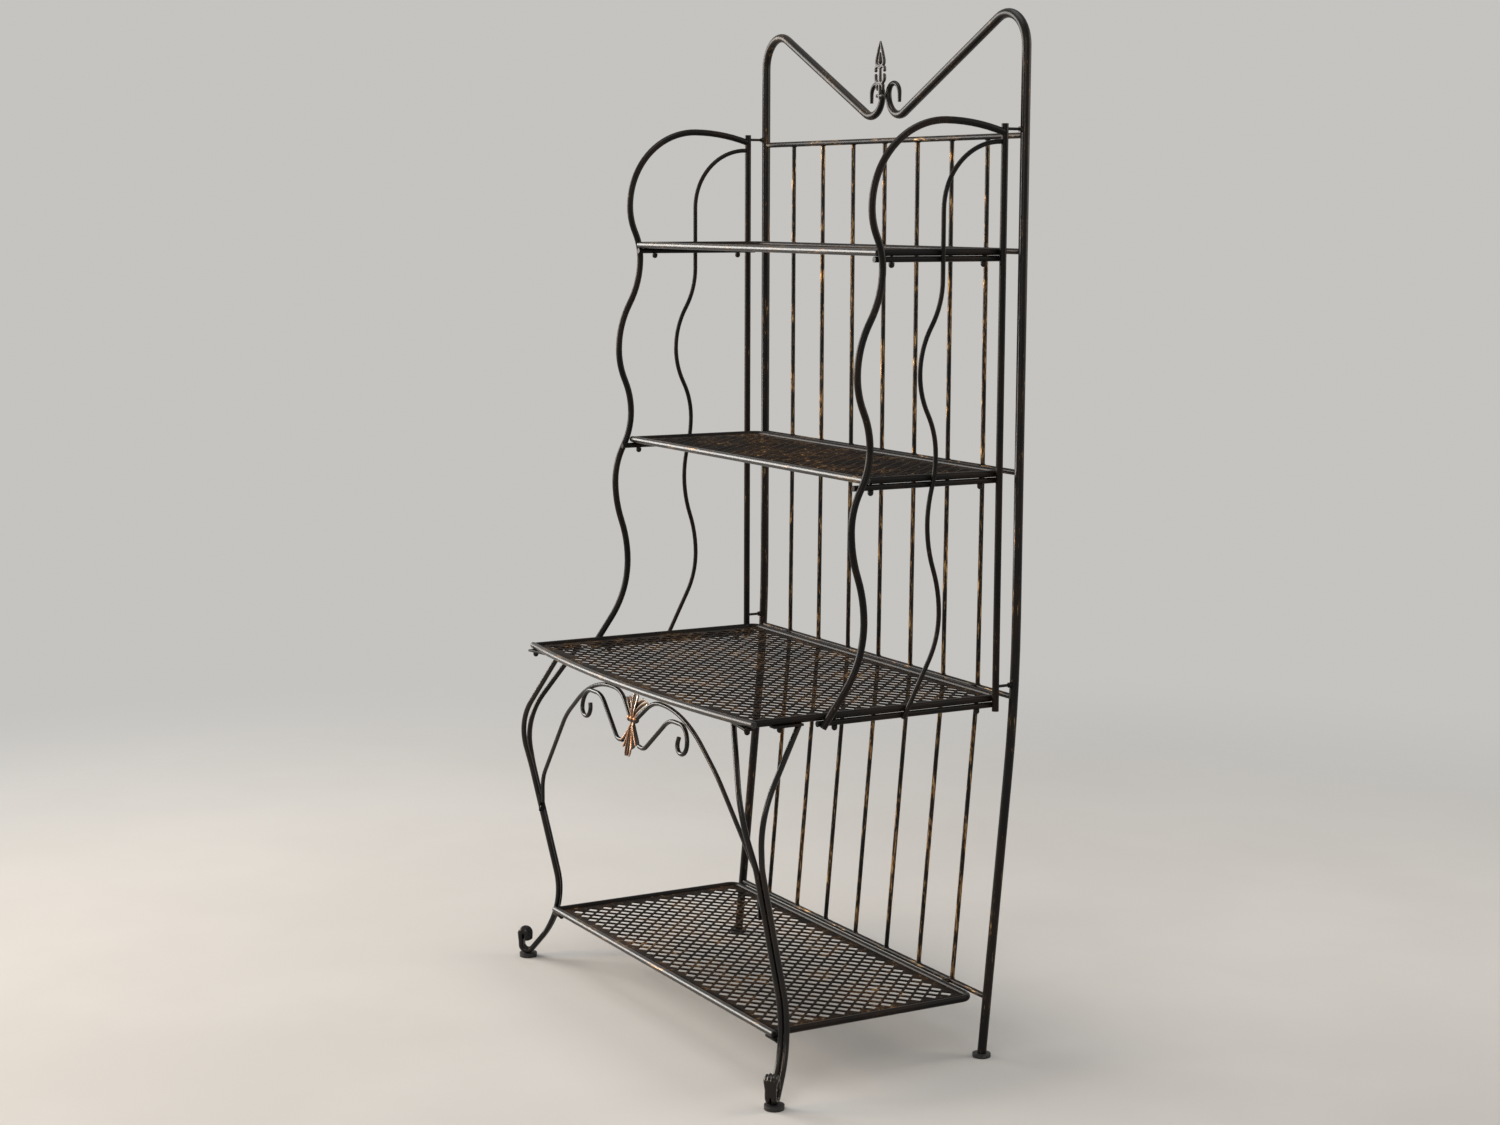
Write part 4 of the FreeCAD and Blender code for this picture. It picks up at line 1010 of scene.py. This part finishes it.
@dataclass
class LeafOrnament:
    """Cast ornament of the apron: three leaves up, five leaves down, a knot and two beads."""

    lean: float = 0.15
    waist_share: float = 0.613
    depth_share: float = 0.55
    knot_radius: float = 7.0 * MM
    bead_radius: float = 6.2 * MM
    bead_half: float = 11.5 * MM
    bead_facets: int = 20
    bead_rings: int = 12
    groove_share: float = 0.1
    groove_size: float = 0.9
    # Painted highlight on the beads and knot: its level, and how it grows upward and forward.
    bead_highlight_base: float = 0.2
    bead_highlight_up: float = 0.8
    bead_highlight_ahead: float = 0.4
    finish: CastBronze = CastBronze("cast_leaves")
    # The upper leaves carry a painted tip highlight, strongest on the two side leaves.
    upper: tuple[Leaf, ...] = (
        Leaf(45 * MM, 13.0 * MM, -14.0, bend=-22 * MM, curl=-5 * MM, painted_tip_highlight=1.4),
        Leaf(46 * MM, 7.5 * MM, 0.0, curl=-3 * MM, forward=2 * MM, painted_tip_highlight=0.4),
        Leaf(45 * MM, 13.0 * MM, 14.0, bend=22 * MM, curl=-5 * MM, painted_tip_highlight=1.4),
    )
    lower: tuple[Leaf, ...] = (
        Leaf(51 * MM, 7.0 * MM, 180 + 20.0, bend=13 * MM, curl=2 * MM, ripples=0.5),
        Leaf(56 * MM, 6.5 * MM, 180 + 14.0, bend=3 * MM, curl=2 * MM, forward=1 * MM, ripples=0.5),
        Leaf(68 * MM, 9.0 * MM, 180.0, curl=1 * MM, forward=1 * MM),
        Leaf(56 * MM, 6.5 * MM, 180 - 14.0, bend=-3 * MM, curl=2 * MM, forward=1 * MM, ripples=0.5),
        Leaf(51 * MM, 7.0 * MM, 180 - 20.0, bend=-13 * MM, curl=2 * MM, ripples=0.5),
    )

    def build(self) -> None:
        """Model the ornament and dress it."""
        low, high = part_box("apron_ornament")
        waist = Vector((0.0, low.y + (high.y - low.y) * self.depth_share,
                        low.z + (high.z - low.z) * self.waist_share))
        pieces = [leaf.build(waist, self.lean) for leaf in (*self.upper, *self.lower)]
        balls = [(Vector((0.0, 0.0, 0.0)), self.knot_radius)]
        balls += [(Vector((side.value * self.bead_half, 0.0, 0.0)), self.bead_radius) for side in Side]
        for offset, radius in balls:
            pieces.append(self.bead(waist + offset, radius))
        finish_piece(join(pieces, "leaf_ornament"), self.finish.material(),
                     ["apron_ornament"])

    def bead(self, place: Vector, radius: float) -> bpy.types.Object:
        """Round bead with a turned groove round its middle and a painted highlight on its upper front
        side.

        Args:
            place: Centre of the bead.
            radius: Its radius.

        Returns:
            The bead as a mesh object.
        """
        deselect()
        bpy.ops.mesh.primitive_uv_sphere_add(segments=self.bead_facets, ring_count=self.bead_rings,
                                             radius=radius, location=place)
        bead = bpy.context.object
        select_points(bead, lambda co: abs(co.z) < radius * self.groove_share)
        bpy.ops.transform.resize(value=(self.groove_size, self.groove_size, 1.0), center_override=place)
        bpy.ops.object.mode_set(mode="OBJECT")
        settle(bead)
        # Painted highlight: the upper front side is marked towards copper and pale polish, and the lower
        # back side stays black.
        lit_side = Vector((0.0, -self.bead_highlight_ahead, self.bead_highlight_up))
        set_relief_and_highlight(bead, lambda co: self.bead_highlight_base + lit_side.dot(co - place) / radius)
        return bead


@dataclass
class SpearFinial:
    """Flat cast spear between the crest hooks: openwork head, barbs, calyx, stem and collar."""

    bar_radius: float = 2.9 * MM
    head_half: float = 12.8 * MM
    barb_half: float = 14.6 * MM
    calyx_half: float = 10.5 * MM
    collar_half: float = 8.5 * MM
    collar_level: float = 0.075
    collar_ends: float = 0.9
    collar_middle: float = 1.3
    ball_radius: float = 3.6 * MM
    ball_facets: int = 18
    ball_rings: int = 10
    pole_share: float = 0.85
    pole_size: float = 0.9
    ridge_gain: float = 0.36
    ridge_drop: float = 0.06
    finish: CastBronze = CastBronze("cast_finial", copper=(0.11, 0.055, 0.026), polish_and_highlight=(0.48, 0.33, 0.19))
    head: Route = ((0.15, 0.58, 0.9), (0.85, 0.585, 1.0), (1.05, 0.645, 1.1), (0.80, 0.73, 1.05),
                   (0.42, 0.86, 0.95), (0.03, 0.985, 0.5))
    down_barb: Route = ((0.0, 0.54, 0.9), (0.5, 0.575, 1.0), (0.98, 0.555, 1.05), (1.04, 0.51, 0.95),
                        (0.94, 0.49, 1.3), (0.86, 0.478, 0.4))
    up_barb: Route = ((0.0, 0.25, 1.0), (0.5, 0.285, 1.1), (0.98, 0.335, 1.1), (1.0, 0.395, 1.15),
                      (0.94, 0.43, 1.1), (0.9, 0.446, 0.4))
    calyx: Route = ((0.0, 0.31, 1.1), (0.6, 0.285, 1.25), (1.05, 0.225, 1.15), (0.8, 0.17, 0.7))
    drop: Route = ((0.0, 0.60, 0.5), (0.0, 0.63, 1.4), (0.0, 0.67, 1.6), (0.0, 0.72, 1.1),
                   (0.0, 0.80, 0.4))
    stem: Route = ((0.0, 0.015, 1.2), (0.0, 0.1, 1.35), (0.0, 0.3, 1.15), (0.0, 0.5, 1.0),
                   (0.0, 0.61, 0.9))

    def build(self) -> None:
        """Model the finial and dress it."""
        low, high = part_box("crest_finial")
        depth = (low.y + high.y) / 2
        collar_place = low.z + (high.z - low.z) * self.collar_level
        pieces = [self.bar("stem", self.stem, 0.0, low, high),
                  self.bar("drop", self.drop, 0.0, low, high)]
        for side in Side:
            reach = side.value
            pieces += [self.bar("head", self.head, reach * self.head_half, low, high),
                       self.bar("down_barb", self.down_barb, reach * self.barb_half, low, high),
                       self.bar("up_barb", self.up_barb, reach * self.barb_half, low, high),
                       self.bar("calyx", self.calyx, reach * self.calyx_half, low, high),
                       self.ball(Vector((reach * self.collar_half, depth, collar_place)))]
        shares = {-1.0: self.collar_ends, 0.0: self.collar_middle, 1.0: self.collar_ends}
        collar = tuple((out, self.collar_level, share) for out, share in shares.items())
        pieces.append(self.bar("collar", collar, self.collar_half, low, high))
        # Copper grows towards the front of each bar, and the back of the bars stays black.
        gain = self.ridge_gain / self.bar_radius
        for piece in pieces:
            set_relief_and_highlight(piece, lambda co: gain * (depth - co.y) - self.ridge_drop)
        finish_piece(join(pieces, "spear_finial"), self.finish.material(),
                     ["crest_finial"])

    def bar(self, name: str, route: Route, half: float, low: Vector, high: Vector) -> bpy.types.Object:
        """One bent bar of the casting.

        Args:
            name: Name of the bar.
            route: Share of the half width, share of the height and share of the bar radius at each point.
            half: Signed half width.
            low: Lower corner of the finial.
            high: Upper corner of the finial.

        Returns:
            The bar as a mesh object.
        """
        depth = (low.y + high.y) / 2
        height = high.z - low.z
        points = [Vector((half * out, depth, low.z + height * level)) for out, level, _ in route]
        return swept(f"finial_{name}", points, [self.bar_radius * share for _, _, share in route])

    def ball(self, place: Vector) -> bpy.types.Object:
        """Ball at an end of the collar, flattened at its poles.

        Args:
            place: Centre of the ball.

        Returns:
            The ball as a mesh object.
        """
        deselect()
        bpy.ops.mesh.primitive_uv_sphere_add(segments=self.ball_facets, ring_count=self.ball_rings,
                                             radius=self.ball_radius, location=place)
        ball = bpy.context.object
        select_points(ball, lambda co: abs(co.z) > self.pole_share * self.ball_radius)
        bpy.ops.transform.resize(value=(1.0, 1.0, self.pole_size), center_override=place)
        bpy.ops.object.mode_set(mode="OBJECT")
        settle(ball)
        return ball


@dataclass
class CrestHook:
    """Upright of the back frame with the end of its crest hook drawn down to a taper."""

    side: Side
    hook_half: float = 10.2 * MM
    dip_radius: float = 37.0 * MM
    dip_end_level: float = 1670.4 * MM
    dip_start_deg: float = -62.9
    hook_radius: float = 18.5 * MM
    hook_level: float = 1671.5 * MM
    end_share: float = 0.38
    slack: float = 9.5 * MM
    end_clear: float = 14.25 * MM
    join_reach: float = 0.05 * MM

    def build(self, material: bpy.types.Material) -> None:
        """Copy the tube, taper its hook and dress it.

        Args:
            material: Finish of the tube.
        """
        node = f"back_frame_{self.side.name.lower()}"
        piece = welded_copy(node, f"crest_hook_tube_{self.side.name.lower()}")
        axis_y = sum(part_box("back_rail_crest"), Vector()).y / 2
        for point in piece.data.vertices:
            along, axis_x, axis_z = self.nearest(abs(point.co.x), point.co.z)
            if along > 0:
                axis = Vector((self.side.value * axis_x, axis_y, axis_z))
                share = 1 - (1 - self.end_share) * min(1.0, along / self.length)
                point.co = axis + (point.co - axis) * share
        finish_piece(piece, material, [node])

    @property
    def dip_length(self) -> float:
        """Length of the bend of the crest dip."""
        return self.dip_radius * math.radians(180 + self.dip_start_deg)

    @property
    def length(self) -> float:
        """Length of the taper, from the crest dip to the free end."""
        return self.dip_length + math.pi * self.hook_radius + self.hook_radius

    def nearest(self, x: float, z: float) -> Point:
        """Nearest point of the tube axis from the crest dip to the free end.

        Args:
            x: Distance from the middle plane.
            z: Height.

        Returns:
            Length along the axis from the start of the dip, and the X and Z of the axis there.
        """
        hook_x = self.hook_half + self.hook_radius
        end_x = hook_x + self.hook_radius
        rise = z - self.hook_level
        near_hook = math.hypot(x - hook_x, rise) < self.hook_radius + self.slack
        if near_hook and z > self.dip_end_level - self.join_reach:
            turn = math.atan2(max(0.0, rise), x - hook_x)
            along = self.dip_length + self.hook_radius * (math.pi - turn)
            level = z if rise < 0 else self.hook_level + self.hook_radius * math.sin(turn)
            return along, hook_x + self.hook_radius * math.cos(turn), level
        dip_x = self.hook_half + self.dip_radius
        off = math.hypot(x - dip_x, z - self.dip_end_level)
        if abs(x - end_x) < self.slack and off < self.dip_radius - self.end_clear:
            return self.dip_length + math.pi * self.hook_radius + self.hook_level - z, end_x, z
        start = math.radians(self.dip_start_deg)
        turn = math.atan2(z - self.dip_end_level, x - dip_x)
        if abs(off - self.dip_radius) < self.slack and turn < start:
            return (self.dip_radius * (start - turn), dip_x + self.dip_radius * math.cos(turn),
                    self.dip_end_level + self.dip_radius * math.sin(turn))
        return 0.0, x, z


@dataclass
class FootScroll:
    """Foot of a front leg: the rod end beaten wide, grooved and rolled over like a fist."""

    side: Side
    corner: tuple[float, float] = (424.0 * MM, -232.0 * MM)
    swing: float = 42.0 * MM
    toe_out: float = 58.0 * MM
    curl_radius: float = 6.5 * MM
    curl_level: float = 46.0 * MM
    start_level: float = 24.0 * MM
    end_level: float = 35.0 * MM
    half_thickness: float = 5.5 * MM
    start_half: float = 8.0 * MM
    end_half: float = 12.6 * MM
    full_share: float = 0.4
    bulge: float = 2.2 * MM
    ridges: int = 4
    groove: float = 1.7 * MM
    groove_onset: float = 3.0
    across_power: float = 0.8
    proud_power: float = 0.75
    front_share: float = 0.2
    rise_steps: int = 5
    curl_steps: int = 17
    end_steps: int = 2
    around: int = 96

    def place(self, out: float, swing: float, level: float) -> Vector:
        """Point in the leg's own directions.

        Args:
            out: Distance out along the diagonal of the corner.
            swing: Distance sideways.
            level: Height.

        Returns:
            The point in the rack's own axes.
        """
        half = math.sqrt(0.5)
        return Vector((self.side.value * (self.corner[0] + half * (out + swing)),
                       self.corner[1] + half * (swing - out), level))

    def route(self) -> list[tuple[float, float, float]]:
        """Stations of the scroll, from the leg to its free end.

        Returns:
            Distance out, level and heading from straight up in radians, at each station.
        """
        stations = []
        for step in range(self.rise_steps):
            rise = (self.curl_level - self.start_level) * step / self.rise_steps
            stations.append((self.toe_out, self.start_level + rise, 0.0))
        for step in range(self.curl_steps):
            turn = math.pi * step / (self.curl_steps - 1)
            stations.append((self.toe_out - self.curl_radius * (1 - math.cos(turn)),
                             self.curl_level + self.curl_radius * math.sin(turn), turn))
        for step in range(1, self.end_steps + 1):
            fall = (self.curl_level - self.end_level) * step / self.end_steps
            stations.append((self.toe_out - 2 * self.curl_radius, self.curl_level - fall, math.pi))
        return stations

    def ring(self, out: float, level: float, turn: float, share: float) -> list[Vector]:
        """Cross-section of the scroll at one station.

        Args:
            out: Axis place along the diagonal.
            level: Axis height.
            turn: Heading from straight up, towards the leg.
            share: Share of the way along the scroll.

        Returns:
            Points of the section.
        """
        swell = math.sin(math.pi / 2 * min(1.0, share / self.full_share))
        half = self.start_half + (self.end_half - self.start_half) * swell
        belly = self.bulge * math.sin(math.pi * share)
        points = []
        for index in range(self.around):
            angle = math.tau * index / self.around
            across = signed_power(math.cos(angle), self.across_power)
            proud = signed_power(math.sin(angle), self.proud_power)
            knuckle = 2 * abs(math.sin(math.pi * self.ridges * (across + 1) / 2)) - 1
            rib = belly + knuckle * self.groove * min(1.0, self.groove_onset * share ** 2)
            thick = proud * (self.half_thickness + (rib if proud > self.front_share else 0.0))
            points.append(self.place(out + thick * math.cos(turn), self.swing + half * across,
                                     level + thick * math.sin(turn)))
        return points

    def build(self, material: bpy.types.Material) -> None:
        """Model the scroll as one skin through its sections and dress it.

        Args:
            material: Finish of the scroll.
        """
        stations = self.route()
        last = len(stations) - 1
        rings = [self.ring(*station, index / last) for index, station in enumerate(stations)]
        piece = skinned(f"foot_scroll_{self.side.name.lower()}", rings, self.side is Side.LEFT)
        finish_piece(piece, material)


@dataclass
class EndPlugs:
    """Domed plugs in the open ends of the shelf front tubes."""

    stand_out: float = 1.8 * MM
    set_in: float = 2.0 * MM
    fit_share: float = 0.97
    inset_share: float = 0.3
    round_share: float = 0.2
    round_steps: int = 3
    facets: int = 28
    tip_reach: float = 0.1 * MM

    def plug(self, place: Vector, radius: float, side: Side) -> bpy.types.Object:
        """Model one plug in its tube end.

        Args:
            place: Middle of the tube end.
            radius: Outer radius of the tube.
            side: End of the rack.

        Returns:
            The plug as a mesh object.
        """
        deselect()
        shift = Vector((side.value * (self.stand_out - self.set_in) / 2, 0.0, 0.0))
        bpy.ops.mesh.primitive_cylinder_add(vertices=self.facets, radius=radius * self.fit_share,
                                            depth=self.stand_out + self.set_in, location=place + shift,
                                            rotation=(0.0, math.pi / 2, 0.0))
        plug = bpy.context.object
        settle(plug)
        tip = max(side.value * point.co.x for point in plug.data.vertices)
        select_points(plug, lambda co: side.value * co.x > tip - self.tip_reach)
        bpy.ops.mesh.select_mode(type="FACE")
        bpy.ops.mesh.inset(thickness=radius * self.inset_share)
        bpy.ops.object.mode_set(mode="OBJECT")
        use_modifier(plug, "BEVEL", width=radius * self.round_share, segments=self.round_steps,
                     limit_method="ANGLE", angle_limit=SMOOTH_ANGLE)
        return plug

    def build(self, material: bpy.types.Material) -> None:
        """Model the plugs of all tubes and dress them.

        Args:
            material: Finish of the plugs.
        """
        plugs = []
        for shelf in Shelf:
            low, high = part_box(f"{shelf.value}_shelf_front_tube")
            radius = (high.z - low.z) / 2
            for side, end in ((Side.LEFT, low.x), (Side.RIGHT, high.x)):
                place = Vector((end, high.y - radius, (low.z + high.z) / 2))
                plugs.append(self.plug(place, radius, side))
        finish_piece(join(plugs, "tube_end_plugs"), material)


@dataclass
class SmallParts:
    """Floor pads, tabs, lugs and sleeves with their edges rounded."""

    widths: tuple[tuple[str, float, int, Slot], ...] = (
        ("front_foot_left", 3.0 * MM, 4, Slot.FEET), ("front_foot_right", 3.0 * MM, 4, Slot.FEET),
        ("rear_foot_left", 1.3 * MM, 3, Slot.FEET), ("rear_foot_right", 1.3 * MM, 3, Slot.FEET),
        ("leg_top_tabs", 0.7 * MM, 2, Slot.LEGS), ("leg_shelf_tabs", 0.7 * MM, 2, Slot.LEGS),
        ("apron_lugs", 0.7 * MM, 2, Slot.LEGS), ("shelf_sleeves", 0.5 * MM, 2, Slot.FASTENERS),
    )

    def build(self, dress: FrameDress) -> None:
        """Round the parts and dress them.

        Args:
            dress: Finishes by node.
        """
        for node, width, segments, slot in self.widths:
            piece = eased_copy(node, f"{node}_eased", width, segments)
            finish_piece(piece, dress.finish_of(node), [node])


@dataclass
class WeldBeads:
    """Small weld beads where the spindles meet the back rails."""

    spindle_count: int = 7
    bead_radius: float = 1.1 * MM
    stand_share: float = 0.3
    sink_share: float = 0.2
    waviness: float = 0.25 * MM
    facets: int = 14
    bead_facets: int = 6
    seed: int = 7
    rails: tuple[str, ...] = ("crest", "top", "middle", "work", "base")

    def ring(self, chance: random.Random) -> bpy.types.Object:
        """Model one uneven bead round a spindle at the origin.

        Args:
            chance: Seeded source of the unevenness.

        Returns:
            The bead as a mesh object.
        """
        deselect()
        low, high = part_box("spindles_crest_bay")
        ring_radius = (high.y - low.y) / 2 + self.stand_share * self.bead_radius
        bpy.ops.mesh.primitive_torus_add(major_segments=self.facets, minor_segments=self.bead_facets,
                                         major_radius=ring_radius, minor_radius=self.bead_radius)
        ring = bpy.context.object
        for point in ring.data.vertices:
            point.co += point.co.normalized() * chance.uniform(-self.waviness, self.waviness)
        return ring

    def build(self, material: bpy.types.Material) -> None:
        """Model one bead, copy it to every joint and dress the set.

        Args:
            material: Finish of the beads.
        """
        chance = random.Random(self.seed)
        axes = {rail: sum(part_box(f"back_rail_{rail}"), Vector()) / 2 for rail in self.rails}
        side_half = sum(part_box("rear_foot_right"), Vector()).x / 2
        pattern = self.ring(chance)
        beads = []
        for upper, lower in zip(self.rails, self.rails[1:]):
            run = (axes[upper] - axes[lower]).normalized()
            low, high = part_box(f"back_rail_{upper}")
            reach = (high.z - low.z) / 2 - self.sink_share * self.bead_radius
            turn = run.to_track_quat("Z", "Y").to_matrix().to_4x4()
            for index in range(1, self.spindle_count + 1):
                across = Vector((side_half * (2 * index / (self.spindle_count + 1) - 1), 0.0, 0.0))
                for rail, way in ((upper, -1), (lower, 1)):
                    bead = pattern.copy()
                    bead.data = pattern.data.copy()
                    bead.matrix_world = Matrix.Translation(axes[rail] + across + run * way * reach) @ turn
                    bpy.context.scene.collection.objects.link(bead)
                    beads.append(bead)
        bpy.data.objects.remove(pattern)
        piece = join(beads, "spindle_welds")
        settle(piece)
        finish_piece(piece, material)


def main() -> None:
    """Build the studio, dress the frame and model the pieces that CAD keeps plain."""
    logging.basicConfig(level=logging.INFO, format="%(message)s")
    Studio().build()
    Viewpoint().build()
    dress = FrameDress()
    dress.apply()
    for shelf in Shelf:
        MeshShelf(shelf).build(dress.mesh)
    LeafOrnament().build()
    SpearFinial().build()
    for side in Side:
        CrestHook(side).build(dress.upright)
        FootScroll(side).build(dress.legs)
    EndPlugs().build(dress.front)
    SmallParts().build(dress)
    WeldBeads().build(dress.fixings)


if __name__ == "__main__":
    main()
